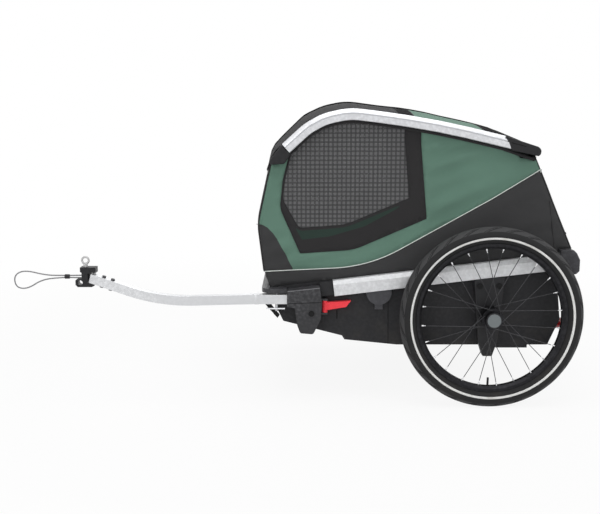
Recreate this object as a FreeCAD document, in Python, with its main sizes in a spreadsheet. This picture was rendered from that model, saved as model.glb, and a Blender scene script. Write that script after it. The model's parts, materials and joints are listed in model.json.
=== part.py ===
"""Two-wheeled dog trailer for a bicycle: folding cloth cabin, tub, side rails, spoked wheels and towing arm.

Every size is in the sheet, in millimetres and degrees. X is measured from the axle, with the towing arm at -X;
each node is then placed so that the part's box is centred on X = 0. Y is zero at the middle and Z at the ground.
"""
import FreeCAD
import Part
import math
import os
import re
import Sketcher

V = FreeCAD.Vector

SIZES = {
    # the whole
    "overall_length": 1406.0,
    "half_width": 290.0,
    "cloth": 3.0,
    "seat_gap": 0.3,
    "running_gap": 0.05,
    # wheels
    "tyre_radius": 250.0,
    "tyre_section": 23.5,
    "tyre_wall": 4.0,
    "tube_gap": 0.5,
    "tube_wall": 1.5,
    "valve_radius": 3.0,
    "valve_bore": 1.2,
    "valve_length": 46.0,
    "valve_hole_gap": 0.3,
    "wheel_out": 61.0,
    "bead_seat_radius": 203.8,
    "bead_half_width": 11.2,
    "rim_inner_radius": 191.0,
    "rim_half_width": 13.2,
    "rim_wall": 1.7,
    "rim_flange": 1.8,
    "spoke_count": 24,
    "spoke_radius": 1.0,
    "spoke_circle": 24.0,
    "spoke_sweep": 62.0,
    "spoke_first": 6.2,
    "spoke_stagger": 3.7,
    "nipple_radius": 2.1,
    "nipple_length": 12.0,
    "rim_spoke_offset": 3.5,
    "hub_half_length": 30.0,
    "hub_barrel": 17.0,
    "hub_flange_radius": 29.0,
    "hub_flange_thick": 3.0,
    "hub_flange_place": 19.0,
    "hub_bore": 9.0,
    "bearing_radius": 14.0,
    "bearing_length": 8.0,
    "axle_radius": 6.0,
    "axle_cup_radius": 21.0,
    "axle_cup_wall": 2.6,
    "axle_cup_base": 3.0,
    "axle_cup_depth": 6.5,
    "button_radius": 18.0,
    "button_thick": 4.0,
    "button_travel": 3.0,
    "button_proud": 1.0,
    "button_stem_radius": 3.0,
    "button_stem_length": 20.0,
    # side rails of the chassis
    "rail_slope": 6.8,
    "rail_axle_z": 374.0,
    "rail_height": 43.0,
    "rail_width": 24.0,
    "rail_wall": 2.0,
    "rail_bevel_tall": 12.0,
    "rail_bevel_deep": 7.0,
    "rail_ahead": 428.0,
    "rail_behind": 189.0,
    "plug_neck": 36.5,
    "plug_depth": 26.0,
    "plug_fit": 0.3,
    # wheel carriers
    "carrier_width": 27.0,
    "carrier_top_half": 42.0,
    "carrier_waist_half": 27.0,
    "carrier_waist_z": 175.0,
    "carrier_foot_half": 13.0,
    "carrier_foot_z": 132.0,
    "carrier_boss": 20.0,
    "carrier_boss_proud": 3.0,
    # tub, liner and cross beam
    "tub_wall": 3.0,
    "tub_bottom_z": 158.0,
    "tub_front": 584.5,
    "tub_front_low_z": 262.0,
    "tub_nose_ahead": 567.0,
    "tub_nose_z": 226.0,
    "tub_step_ahead": 403.0,
    "tub_step_z": 184.0,
    "tub_flat_ahead": 396.0,
    "tub_flat_z": 173.0,
    "tub_level_ahead": 250.0,
    "tub_heel_behind": 173.0,
    "tub_bulge_behind": 205.0,
    "tub_bulge_z": 232.0,
    "tub_back": 191.0,
    "liner_thick": 8.0,
    "liner_ahead": 245.0,
    "liner_behind": 160.0,
    "liner_side_gap": 0.6,
    "beam_ahead": -30.0,
    "beam_behind": 118.0,
    "beam_drop": 10.0,
    "beam_inset": 8.0,
    # receiver for the towing arm, and its twin
    "receiver_width": 36.0,
    "receiver_front": 556.0,
    "receiver_front_top_z": 319.0,
    "receiver_back_top_ahead": 466.0,
    "receiver_back_top_z": 329.0,
    "receiver_back_low_ahead": 460.0,
    "receiver_back_low_z": 283.0,
    "receiver_heel_ahead": 464.0,
    "receiver_heel_z": 238.0,
    "receiver_toe_ahead": 484.0,
    "receiver_toe_z": 197.0,
    "receiver_tip_ahead": 520.0,
    "receiver_tip_z": 200.0,
    "receiver_chin_ahead": 528.0,
    "receiver_chin_z": 222.0,
    "receiver_throat_ahead": 535.0,
    "receiver_throat_z": 271.0,
    "receiver_low_z": 274.0,
    "receiver_round": 8.0,
    "receiver_bolt_ahead": 489.0,
    "receiver_bolt_z": 256.0,
    # bumpers
    "bumper_front": 626.0,
    "bumper_back": 585.0,
    "bumper_low_z": 311.0,
    "bumper_top_z": 323.5,
    "bumper_overhang": 32.0,
    "bumper_corner": 34.0,
    "rear_bar_front": 192.0,
    "rear_bar_back": 246.0,
    "rear_bar_low_z": 363.0,
    "rear_bar_mid_z": 403.0,
    "rear_bar_top_z": 430.0,
    "rear_bar_bevel": 18.0,
    "rear_bar_overhang": 24.0,
    "reflector_radius": 15.0,
    "reflector_thick": 10.0,
    "reflector_inset": 20.0,
    # folding frame
    "front_pivot_ahead": 594.0,
    "front_pivot_z": 345.0,
    "rear_pivot_behind": 205.0,
    "rear_pivot_z": 448.0,
    "roof_pivot_behind": 95.0,
    "roof_pivot_z": 700.0,
    "leg_inset": 25.0,
    "leg_radius": 9.0,
    "eye_radius": 10.0,
    "ear_thick": 4.0,
    "ear_gap": 0.8,
    "ear_half": 9.0,
    "pivot_pin_radius": 4.0,
    "front_bow_ahead": 624.5,
    "front_bow_z": 500.0,
    "front_top_ahead": 591.0,
    "front_top_z": 664.0,
    "front_leg_radius": 8.0,
    "low_bar_rise": 22.0,
    # roof
    "roof_front_ahead": 558.0,
    "roof_front_z": 702.0,
    "roof_front_angle": 43.0,
    "roof_back_behind": 36.0,
    "roof_back_z": 721.0,
    "roof_back_angle": 10.9,
    "roof_bend": 165.0,
    "roof_rail_height": 35.0,
    "roof_rail_width": 24.0,
    "roof_rail_bevel": 5.0,
    "roof_rail_wall": 3.5,
    "roof_cloth_rise": 17.0,
    "roof_bow_radius": 8.0,
    "roof_front_bow_ahead": 576.0,
    "roof_front_bow_z": 693.0,
    "roof_mid_bow_ahead": 250.0,
    "cap_overlap_gap": 0.3,
    # soft walls
    "wall_front_mid_ahead": 620.0,
    "wall_front_mid_z": 372.0,
    "wall_front_out_ahead": 636.0,
    "wall_front_out_z": 501.0,
    "wall_front_top_ahead": 600.0,
    "wall_front_top_z": 662.0,
    "wall_top_drop": -13.0,
    "wall_start": 20.0,
    "wall_notch_ahead": 562.0,
    "wall_notch_z": 676.0,
    "wall_back_behind": 76.0,
    "wall_back_z": 680.0,
    "wall_edge_offset": 12.0,
    "wall_edge_top": 240.0,
    "wall_foot_ahead": 604.0,
    "seam_back_along": 205.0,
    "seam_bend_ahead": 330.0,
    "seam_bend_z": 381.0,
    "seam_front_z": 367.0,
    "seam_bend": 410.0,
    "window_front_ahead": 573.0,
    "window_front_z": 545.0,
    "window_low_ahead": 520.0,
    "window_low_z": 418.0,
    "window_mid_ahead": 372.0,
    "window_mid_z": 428.0,
    "window_bend": 150.0,
    "window_back_low_ahead": 174.0,
    "window_back_low_z": 514.0,
    "window_back_lean": 22.0,
    "window_start": 10.0,
    "net_front_ahead": 560.0,
    "net_front_z": 568.0,
    "net_low_ahead": 520.0,
    "net_low_z": 487.0,
    "net_mid_ahead": 395.0,
    "net_mid_z": 497.0,
    "net_back_low_ahead": 222.0,
    "net_back_low_z": 570.0,
    "net_back_lean": 16.0,
    "net_top_drop": 30.0,
    "net_start": 16.0,
    "net_corner": 18.0,
    "net_cell": 18.0,
    "net_thick": 1.5,
    "window_corner": 26.0,
    "window_top_drop": 20.0,
    "net_bar": 3.0,
    "net_border": 6.0,
    "door_offset": 12.5,
    "door_rod": 4.0,
    "door_top_gap": 26.0,
    "panel_inset": 3.5,
    "panel_gap": 0.4,
    # towing arm
    "arm_out": 18.3,
    "arm_root_z": 294.0,
    "arm_width": 24.0,
    "arm_height": 26.0,
    "arm_wall": 2.5,
    "arm_fit": 0.3,
    "arm_root_ahead": 472.0,
    "arm_bend_ahead": 640.0,
    "arm_yaw": 9.9,
    "arm_dip_share": 0.576,
    "arm_tip_gap": 6.86,
    "arm_dip_z": 277.0,
    "arm_dip": 550.0,
    "arm_tip_z": 337.5,
    "arm_pin_ahead": 585.0,
    "arm_pin_radius": 4.0,
    "arm_pin_low_z": 260.0,
    "arm_pin_top_z": 308.5,
    "clip_z": 267.0,
    "clip_ahead": 612.0,
    "clip_behind": 562.0,
    "clip_spread": 7.0,
    "clip_wire": 1.5,
    "strap_thick": 2.5,
    "strap_front_ahead": 620.0,
    "strap_back_ahead": 603.0,
    "strap_end_ahead": 577.0,
    "strap_end_z": 247.0,
    "strap_tip_ahead": 583.0,
    "strap_tip_z": 238.0,
    "strap_behind": 6.5,
    # hitch
    "hitch_width": 30.0,
    "hitch_foot_length": 52.0,
    "hitch_foot_low_z": 313.0,
    "hitch_foot_top_z": 335.0,
    "hitch_neck_inset": 18.0,
    "hitch_neck_length": 17.3,
    "hitch_plate_low_z": 353.5,
    "hitch_plate_top_z": 369.0,
    "hitch_plate_inset": 14.0,
    "hitch_plate_length": 44.0,
    "hitch_eye_inset": 13.0,
    "hitch_eye_z": 325.0,
    "hitch_eye_radius": 7.5,
    "spigot_length": 82.0,
    "spigot_root": 8.0,
    "spigot_fit": 0.3,
    "hitch_bolt_radius": 3.0,
    "hitch_bolt_head": 5.5,
    "hitch_bolt_head_tall": 4.0,
    "hitch_bolt_first": 36.0,
    "hitch_bolt_pitch": 27.0,
    "lock_pin_inset": 13.0,
    "lock_pin_radius": 4.0,
    "lock_pin_depth": 40.0,
    "lock_ring_radius": 9.5,
    "lock_ring_wire": 3.0,
    "lock_pin_rise": 6.0,
    # safety cable
    "cable_radius": 1.9,
    "cable_top_z": 344.0,
    "cable_spread": 6.0,
    "cable_eye_length": 152.0,
    "cable_eye_drop": 39.0,
    "cable_eye_rise": 16.0,
    "ferrule_length": 13.0,
    "ferrule_radius": 6.5,
    "ferrule_out": 26.0,
    # catches
    "lever_ahead": 452.0,
    "lever_length": 72.0,
    "lever_thick": 15.0,
    "lever_low_z": 262.0,
    "lever_tall": 26.0,
    "lever_out": 12.0,
    "lever_eye": 7.5,
    "lever_lug": 5.0,
    "lever_lug_gap": 0.4,
    "lever_pin_radius": 3.0,
    "cover_ahead": 302.0,
    "cover_z": 310.0,
    "cover_radius": 35.0,
    "cover_thick": 12.0,
    "cover_tab_half": 11.0,
    "cover_tab_low_z": 261.0,
    "cover_tab_thick": 6.0,
    # fasteners
    "bolt_head": 8.0,
    "bolt_head_tall": 4.0,
}

# places that follow from the sizes above
TIED = {
    "wheel_plane": "half_width + wheel_out",
    "arm_plane": "half_width + arm_out",
    "lever_plane": "half_width + lever_out",
    "leg_place": "half_width - leg_inset",
    "bumper_half_length": "half_width + bumper_overhang",
    "rear_bar_half_length": "half_width + rear_bar_overhang",
    "beam_half_length": "half_width - beam_inset",
    "panel_half_width": "half_width - panel_inset",
    "reflector_place": "half_width - reflector_inset",
    "hitch_front": "overall_length - tyre_radius",
    "hitch_foot_back": "hitch_front - hitch_foot_length",
    "hitch_neck_front": "hitch_front - hitch_neck_inset",
    "hitch_neck_back": "hitch_neck_front - hitch_neck_length",
    "hitch_plate_front": "hitch_front - hitch_plate_inset",
    "hitch_plate_back": "hitch_plate_front - hitch_plate_length",
    "hitch_eye_ahead": "hitch_front - hitch_eye_inset",
    "lock_pin_ahead": "hitch_plate_front - lock_pin_inset",
    "arm_tip_run": "(hitch_neck_back - arm_tip_gap - arm_bend_ahead) / cos(arm_yaw)",
    "arm_dip_run": "arm_tip_run * arm_dip_share",
    "ferrule_ahead": "hitch_front + ferrule_out",
}

doc = FreeCAD.newDocument("dog_trailer")
sheet = doc.addObject("Spreadsheet::Sheet", "Sheet")
cells = {alias: str(value) for alias, value in SIZES.items()}
cells.update({alias: "=" + text for alias, text in TIED.items()})
for row, (alias, text) in enumerate(cells.items(), start=1):
    sheet.set("A%d" % row, alias)
    sheet.set("B%d" % row, text)
    sheet.setAlias("B%d" % row, alias)
doc.recompute()

NODES = {}
AXLE_X = "overall_length / 2 - tyre_radius"


def size(alias):
    """The number that a cell of the sheet holds."""
    return float(sheet.get(alias))


def formula(text):
    """A formula in the sheet's names, written as the document's expressions have it."""
    return re.sub(r"[A-Za-z_]\w*", lambda m: "Sheet." + m[0] if m[0] in cells else m[0], text)


def number(value):
    """The value of a formula, or of a number as it is."""
    if isinstance(value, str):
        found = sheet.evalExpression(formula(value).replace("Sheet.", ""))
        return float(getattr(found, "Value", found))
    return float(value)


def bind(target, prop, value):
    """Sets a property, tied to the sheet where a formula is given."""
    if isinstance(value, str):
        target.setExpression(prop, formula(value))
    else:
        setattr(target, prop, value)


def place(target, x="0", y="0", z="0", axis=None, angle=None):
    """Puts an object at formulas for its place, measured from the axle, turned about an axis."""
    turn = FreeCAD.Rotation()
    if axis is not None:
        turn = FreeCAD.Rotation(axis, number(angle))
    target.Placement = FreeCAD.Placement(V(0, 0, 0), turn)
    target.setExpression("Placement.Base.x", formula("%s + (%s)" % (AXLE_X, x)))
    target.setExpression("Placement.Base.y", formula(y))
    target.setExpression("Placement.Base.z", formula(z))
    if isinstance(angle, str):
        target.setExpression("Placement.Rotation.Angle", formula(angle))


def origin_feature(body, role):
    """A plane or an axis of a body's own origin."""
    return [f for f in body.Origin.OriginFeatures if f.Role == role][0]


def draw(sketch, outlines, circles):
    """Draws closed outlines and circles in a sketch, each corner and centre held by two distances."""
    for outline in outlines:
        first = sketch.GeometryCount
        count = len(outline)
        corners = [V(number(a), number(b), 0) for a, b in outline]
        for i in range(count):
            sketch.addGeometry(Part.LineSegment(corners[i], corners[(i + 1) % count]), False)
        for i in range(count):
            sketch.addConstraint(Sketcher.Constraint("Coincident", first + i, 2, first + (i + 1) % count, 1))
        for i, (a, b) in enumerate(outline):
            hold(sketch, first + i, 1, a, b)
    for a, b, radius in circles:
        line = sketch.addGeometry(Part.Circle(V(number(a), number(b), 0), V(0, 0, 1), number(radius)), False)
        hold(sketch, line, 3, a, b)
        made = sketch.addConstraint(Sketcher.Constraint("Radius", line, number(radius)))
        if isinstance(radius, str):
            sketch.setExpression("Constraints[%d]" % made, formula(radius))


def hold(sketch, line, end, a, b):
    """Holds one point of a sketch at a place."""
    for kind, value in (("DistanceX", a), ("DistanceY", b)):
        made = sketch.addConstraint(Sketcher.Constraint(kind, -1, 1, line, end, number(value)))
        if isinstance(value, str):
            sketch.setExpression("Constraints[%d]" % made, formula(value))


def new_sketch(body, plane, outlines, circles=()):
    sketch = body.newObject("Sketcher::SketchObject", body.Name + "_sketch")
    sketch.AttachmentSupport = [(origin_feature(body, plane), "")]
    sketch.MapMode = "FlatFace"
    draw(sketch, outlines, circles)
    return sketch


def along_edges(shape, corner, plane):
    """The names of the edges that stand on a corner of the outline, square to its plane."""
    names = []
    for i, edge in enumerate(shape.Edges, start=1):
        ends = [v.Point for v in edge.Vertexes]
        if plane == "XZ_Plane":
            flat = [(p.x, p.z) for p in ends]
        elif plane == "XY_Plane":
            flat = [(p.x, p.y) for p in ends]
        else:
            flat = [(p.y, p.z) for p in ends]
        if len(flat) == 2 and all(math.dist(f, corner) < 1e-4 for f in flat):
            names.append("Edge%d" % i)
    return names


def prism(label, outlines, depth, plane="XZ_Plane", outward=1, rounds=(), circles=(), middle=False):
    """A body padded from closed outlines; rounds are (corner, radius) pairs of formulas."""
    body = doc.addObject("PartDesign::Body", label)
    sketch = new_sketch(body, plane, outlines, circles)
    pad = body.newObject("PartDesign::Pad", label + "_pad")
    pad.Profile = sketch
    bind(pad, "Length", depth)
    pad.Midplane = middle
    pad.Reversed = outward > 0 if plane == "XZ_Plane" else outward < 0
    doc.recompute()
    last = pad
    for corner, radius in rounds:
        names = along_edges(last.Shape, [number(c) for c in corner], plane)
        fillet = body.newObject("PartDesign::Fillet", label + "_round")
        fillet.Base = (last, names)
        bind(fillet, "Radius", radius)
        doc.recompute()
        last = fillet
    return body


def turned(label, outline):
    """A body turned about Y from a closed outline of (radius, place along the axis)."""
    body = doc.addObject("PartDesign::Body", label)
    sketch = new_sketch(body, "XY_Plane", [outline])
    spin = body.newObject("PartDesign::Revolution", label + "_turn")
    spin.Profile = sketch
    spin.ReferenceAxis = (origin_feature(body, "Y_Axis"), [""])
    spin.Angle = 360
    doc.recompute()
    return body


def rod(label, radius, length, x, y, z, axis=None, angle=None):
    """A plain round bar, along Y unless it is turned otherwise."""
    made = doc.addObject("Part::Cylinder", label)
    bind(made, "Radius", radius)
    bind(made, "Height", length)
    if axis is None:
        place(made, x, y, z, V(1, 0, 0), -90)
    else:
        place(made, x, y, z, axis, angle)
    return made


def box(label, length, width, height, x, y, z, axis=None, angle=None):
    made = doc.addObject("Part::Box", label)
    bind(made, "Length", length)
    bind(made, "Width", width)
    bind(made, "Height", height)
    place(made, x, y, z, axis, angle)
    return made


def cut(label, base, *tools):
    """The base less each tool in turn."""
    for i, tool in enumerate(tools, start=1):
        made = doc.addObject("Part::Cut", "%s_cut%d" % (label, i))
        made.Base = base
        made.Tool = tool
        base = made
    doc.recompute()
    return base


def fuse(label, *pieces):
    made = doc.addObject("Part::MultiFuse", label + "_fuse")
    made.Shapes = list(pieces)
    made.Refine = True
    doc.recompute()
    return made


def group(label, *pieces):
    """Separate solids that share one node."""
    made = doc.addObject("Part::Compound", label + "_group")
    made.Links = list(pieces)
    doc.recompute()
    return made


def feature(label, shape, y="0"):
    """A shape made with the kernel's own functions, in axle-measured places."""
    made = doc.addObject("Part::Feature", label)
    made.Shape = shape
    place(made, "0", y, "0")
    return made


def node(label, made):
    """Marks an object as one sub-part of the trailer."""
    made.Label = label
    NODES[label] = made
    return made


SIDES = (("left", -1), ("right", 1))


def out(sign, text):
    """A formula for a place on one side of the middle."""
    return "%d * (%s)" % (sign, text)


def wheel(side, sign):
    """One wheel: tyre, inner tube with valve, rim, spokes, hub shell and bearings, and the axle it turns on."""
    centre = ("0", out(sign, "wheel_plane"), "tyre_radius")
    across = (V(1, 0, 0), 90)

    def torus(label, radius):
        made = doc.addObject("Part::Torus", label)
        bind(made, "Radius1", "tyre_radius - tyre_section")
        bind(made, "Radius2", radius)
        place(made, *centre, *across)
        return made

    mouth = rod("tyre_mouth_" + side, "bead_seat_radius + tyre_wall * 2", "2 * (bead_half_width - tyre_wall)",
                "0", "%s - (bead_half_width - tyre_wall)" % centre[1], "tyre_radius")
    tyre = cut("tyre_" + side, torus("tyre_out_" + side, "tyre_section"),
               torus("tyre_in_" + side, "tyre_section - tyre_wall"), mouth)
    node("tyre_" + side, tyre)

    pitch = 360 / size("spoke_count")
    valve_angle = math.radians(size("spoke_first") + 17.5 * pitch)
    hub = V(0, sign * size("wheel_plane"), size("tyre_radius"))
    valve_way = V(math.cos(valve_angle), 0, math.sin(valve_angle))
    tube_radius = size("tyre_radius") - size("tyre_section")
    valve_top = tube_radius - size("tyre_section") / 2
    valve_foot = hub + valve_way * (valve_top - size("valve_length"))
    valve = Part.makeCylinder(size("valve_radius"), size("valve_length"), valve_foot, valve_way)
    tube_section = size("tyre_section") - size("tyre_wall") - size("tube_gap")
    tube = Part.makeTorus(tube_radius, tube_section, hub, V(0, 1, 0)).fuse(valve)
    tube = tube.cut(Part.makeTorus(tube_radius, tube_section - size("tube_wall"), hub, V(0, 1, 0)))
    tube = tube.cut(Part.makeCylinder(size("valve_bore"), size("valve_length"), valve_foot, valve_way))
    node("inner_tube_" + side, feature("inner_tube_" + side, tube))

    holes = [Part.makeCylinder(size("valve_radius") + size("valve_hole_gap"), size("valve_length"),
                               valve_foot, valve_way)]
    spokes = []
    rim_depth = (size("bead_seat_radius") - size("rim_inner_radius")) / 2
    for k in range(int(size("spoke_count"))):
        at_rim = math.radians(size("spoke_first") + k * pitch)
        flange = 1 if k % 2 else -1
        lead = 1 if k % 4 < 2 else -1
        at_hub = at_rim + lead * math.radians(size("spoke_sweep"))
        near = flange * size("hub_flange_place") + lead * size("spoke_stagger")
        start = hub + V(size("spoke_circle") * math.cos(at_hub), near, size("spoke_circle") * math.sin(at_hub))
        seat = size("rim_inner_radius") + rim_depth
        end = hub + V(seat * math.cos(at_rim), flange * size("rim_spoke_offset"), seat * math.sin(at_rim))
        way = (end - start).normalize()
        length = (end - start).Length
        nipple_from = end - way * size("nipple_length")
        wire = Part.makeCylinder(size("spoke_radius"), length - size("nipple_length") / 2, start, way)
        nipple = Part.makeCylinder(size("nipple_radius"), size("nipple_length"), nipple_from, way)
        spokes.append(wire.fuse(nipple).removeSplitter())
        holes.append(Part.makeCylinder(size("nipple_radius") + size("valve_hole_gap"),
                                       size("nipple_length") + rim_depth, nipple_from, way))
    node("spokes_" + side, feature("spokes_" + side, Part.makeCompound(spokes)))

    seat_half = "bead_half_width + seat_gap"
    rim = turned("rim_blank_" + side, [
        ("rim_inner_radius", "-rim_half_width / 2"), ("rim_inner_radius", "rim_half_width / 2"),
        ("rim_inner_radius + rim_half_width / 2", "rim_half_width"),
        ("bead_seat_radius + rim_flange", "rim_half_width"), ("bead_seat_radius + rim_flange", seat_half),
        ("bead_seat_radius", seat_half), ("bead_seat_radius", "bead_half_width - tyre_wall"),
        ("rim_inner_radius + 4 * rim_wall", "rim_half_width / 3"),
        ("rim_inner_radius + 4 * rim_wall", "-rim_half_width / 3"),
        ("bead_seat_radius", "tyre_wall - bead_half_width"), ("bead_seat_radius", "-(%s)" % seat_half),
        ("bead_seat_radius + rim_flange", "-(%s)" % seat_half), ("bead_seat_radius + rim_flange", "-rim_half_width"),
        ("rim_inner_radius + rim_half_width / 2", "-rim_half_width")])
    place(rim, *centre)
    drills = feature("rim_drills_" + side, Part.makeCompound(holes))
    node("rim_" + side, cut("rim_" + side, rim, drills))

    barrel, flange, half = "hub_barrel", "hub_flange_radius", "hub_half_length"
    low, high = "hub_flange_place - hub_flange_thick / 2", "hub_flange_place + hub_flange_thick / 2"
    pocket = "bearing_radius + running_gap"
    shell = turned("hub_shell_" + side, [
        (pocket, "-" + half), (barrel, "-" + half), (barrel, "-(%s)" % high), (flange, "-(%s)" % high),
        (flange, "-(%s)" % low), (barrel, "-(%s)" % low), (barrel, low), (flange, low), (flange, high),
        (barrel, high), (barrel, half), (pocket, half), (pocket, half + " - bearing_length"),
        ("hub_bore", half + " - bearing_length"), ("hub_bore", "bearing_length - " + half),
        (pocket, "bearing_length - " + half)])
    place(shell, *centre)
    node("hub_shell_" + side, shell)

    rings = []
    for end, start in (("a", "-" + half), ("b", half + " - bearing_length")):
        inner = "axle_radius + running_gap"
        race = turned("bearing_%s_%s" % (end, side), [
            (inner, start), ("bearing_radius", start), ("bearing_radius", start + " + bearing_length"),
            (inner, start + " + bearing_length")])
        place(race, *centre)
        rings.append(race)
    node("bearings_" + side, group("bearings_" + side, *rings))

    turn = (V(0, 0, 1), 0 if sign > 0 else 180)
    inner_end, cup = "half_width + seat_gap * 5", "wheel_plane + hub_half_length + seat_gap"
    stem_bore = "button_stem_radius + running_gap"
    rim_in = "axle_cup_radius - axle_cup_wall"
    bore_end = cup + " + axle_cup_base - button_stem_length - 2 * button_travel"
    axle = turned("wheel_axle_" + side, [
        ("0", inner_end), ("axle_radius", inner_end), ("axle_radius", cup), ("axle_cup_radius", cup),
        ("axle_cup_radius", cup + " + axle_cup_base + axle_cup_depth"),
        (rim_in, cup + " + axle_cup_base + axle_cup_depth"),
        (rim_in, cup + " + axle_cup_base"), (stem_bore, cup + " + axle_cup_base"), (stem_bore, bore_end),
        ("0", bore_end)])
    place(axle, "0", "0", "tyre_radius", *turn)
    node("wheel_axle_" + side, axle)

    face = cup + " + axle_cup_base + axle_cup_depth + button_proud"
    button = turned("axle_button_" + side, [
        ("0", face), ("button_radius", face), ("button_radius", face + " - button_thick"),
        ("button_stem_radius", face + " - button_thick"),
        ("button_stem_radius", face + " - button_thick - button_stem_length"),
        ("0", face + " - button_thick - button_stem_length")])
    place(button, "0", "0", "tyre_radius", *turn)
    node("axle_button_" + side, button)


RAIL_INNER = "half_width + seat_gap"
RAIL_UNDER = "rail_axle_z - rail_height / 2 / cos(rail_slope)"
RAIL_TOP = "rail_axle_z + rail_height / 2 / cos(rail_slope)"


def rail_line(base, x):
    """The height of a line along the side rail, at a place measured from the axle."""
    return "%s + (%s) * tan(rail_slope)" % (base, x)


def side_rail(side, sign):
    """A hollow rail with a bevelled upper edge, climbing to the rear, and the plug at its front end."""
    h, w, t = "rail_height / 2", "rail_width", "rail_wall"
    outer = [("0", "-" + h), (out(sign, w), "-" + h), (out(sign, w), h + " - rail_bevel_tall"),
             (out(sign, w + " - rail_bevel_deep"), h), ("0", h)]
    inner = [(out(sign, t), "rail_wall - " + h), (out(sign, w + " - rail_wall"), "rail_wall - " + h),
             (out(sign, w + " - rail_wall"), h + " - rail_bevel_tall - rail_wall / 2"),
             (out(sign, w + " - rail_bevel_deep - rail_wall / 2"), h + " - rail_wall"),
             (out(sign, t), h + " - rail_wall")]
    length = "(rail_ahead + rail_behind) / cos(rail_slope)"
    made = prism("side_rail_" + side, [outer, inner], length, plane="YZ_Plane")
    place(made, "-rail_ahead", out(sign, RAIL_INNER), rail_line("rail_axle_z", "-rail_ahead"), V(0, 1, 0),
          "-rail_slope")
    node("side_rail_" + side, made)
    tall = "rail_height - 2 * rail_wall - 2 * plug_fit"
    wide = "rail_width - 2 * rail_wall - rail_bevel_deep - 2 * plug_fit"
    near = "half_width + seat_gap + rail_wall + plug_fit"
    y = out(sign, near) if sign > 0 else out(sign, "%s + %s" % (near, wide))
    x = "-rail_ahead - plug_neck * cos(rail_slope) + (%s) / 2 * sin(rail_slope)" % tall
    end_z = rail_line("rail_axle_z", "-rail_ahead")
    z = "%s - plug_neck * sin(rail_slope) - (%s) / 2 * cos(rail_slope)" % (end_z, tall)
    return box("rail_plug_" + side, "plug_neck + plug_depth", wide, tall, x, y, z, V(0, 1, 0), "-rail_slope")


def carrier(side, sign):
    """A foot below the rail that holds the wheel's axle in a boss."""
    top = [("-carrier_top_half", rail_line(RAIL_UNDER, "-carrier_top_half") + " - seat_gap"),
           ("carrier_top_half", rail_line(RAIL_UNDER, "carrier_top_half") + " - seat_gap")]
    outline = top + [("carrier_waist_half", "carrier_waist_z"), ("carrier_foot_half", "carrier_foot_z"),
                     ("-carrier_foot_half", "carrier_foot_z"), ("-carrier_waist_half", "carrier_waist_z")]
    plate = prism("carrier_plate_" + side, [outline], "carrier_width", outward=sign)
    place(plate, "0", out(sign, RAIL_INNER), "0")
    deep = "carrier_width + carrier_boss_proud"
    y = RAIL_INNER if sign > 0 else "-(%s) - (%s)" % (RAIL_INNER, deep)
    boss = rod("carrier_boss_" + side, "carrier_boss", deep, "0", y, "tyre_radius")
    bore = rod("carrier_bore_" + side, "axle_radius + running_gap", deep, "0", y, "tyre_radius")
    node("wheel_carrier_" + side, cut("wheel_carrier_" + side, fuse("carrier_" + side, plate, boss), bore))


def tub_outline(inset):
    """The side view of the tub, drawn in by its wall for the hollow."""
    rim = RAIL_TOP + " - seat_gap"
    if not inset:
        return [("-tub_front", rail_line(rim, "-tub_front")), ("-tub_front", "tub_front_low_z"),
                ("-tub_nose_ahead", "tub_nose_z"), ("-tub_step_ahead", "tub_step_z"),
                ("-tub_flat_ahead", "tub_flat_z"), ("-tub_level_ahead", "tub_bottom_z"),
                ("tub_heel_behind", "tub_bottom_z"), ("tub_bulge_behind", "tub_bulge_z"),
                ("tub_back", "rear_bar_low_z - tub_wall"), ("tub_back", rail_line(rim, "tub_back"))]
    high = " + 20 * tub_wall"
    return [("-tub_front + tub_wall", rail_line(rim + high, "-tub_front")),
            ("-tub_front + tub_wall", "tub_front_low_z + tub_wall / 2"),
            ("-tub_nose_ahead + tub_wall / 2", "tub_nose_z + tub_wall"),
            ("-tub_step_ahead + tub_wall / 2", "tub_step_z + tub_wall"),
            ("-tub_flat_ahead + tub_wall / 2", "tub_flat_z + tub_wall"),
            ("-tub_level_ahead", "tub_bottom_z + tub_wall"),
            ("tub_heel_behind - tub_wall / 2", "tub_bottom_z + tub_wall"),
            ("tub_bulge_behind - tub_wall", "tub_bulge_z"),
            ("tub_back - tub_wall", "rear_bar_low_z - tub_wall"),
            ("tub_back - tub_wall", rail_line(rim + high, "tub_back"))]


def tub():
    """The cabin's tub, the liner on its floor and the beam that stiffens it from below."""
    shell = prism("tub_blank", [tub_outline(False)], "2 * half_width", middle=True)
    hollow = prism("tub_hollow", [tub_outline(True)], "2 * half_width - 2 * tub_wall", middle=True)
    place(shell)
    place(hollow)
    node("floor_tub", cut("floor_tub", shell, hollow))
    inner = "half_width - tub_wall - liner_side_gap"
    liner = box("floor_liner", "liner_ahead + liner_behind", "2 * (%s)" % inner, "liner_thick",
                "-liner_ahead", "-(%s)" % inner, "tub_bottom_z + tub_wall + seat_gap")
    node("floor_liner", liner)
    beam = box("floor_beam", "beam_behind + beam_ahead", "2 * beam_half_length", "beam_drop",
               "-beam_ahead", "-beam_half_length", "tub_bottom_z - beam_drop - seat_gap")
    node("floor_beam", beam)


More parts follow.
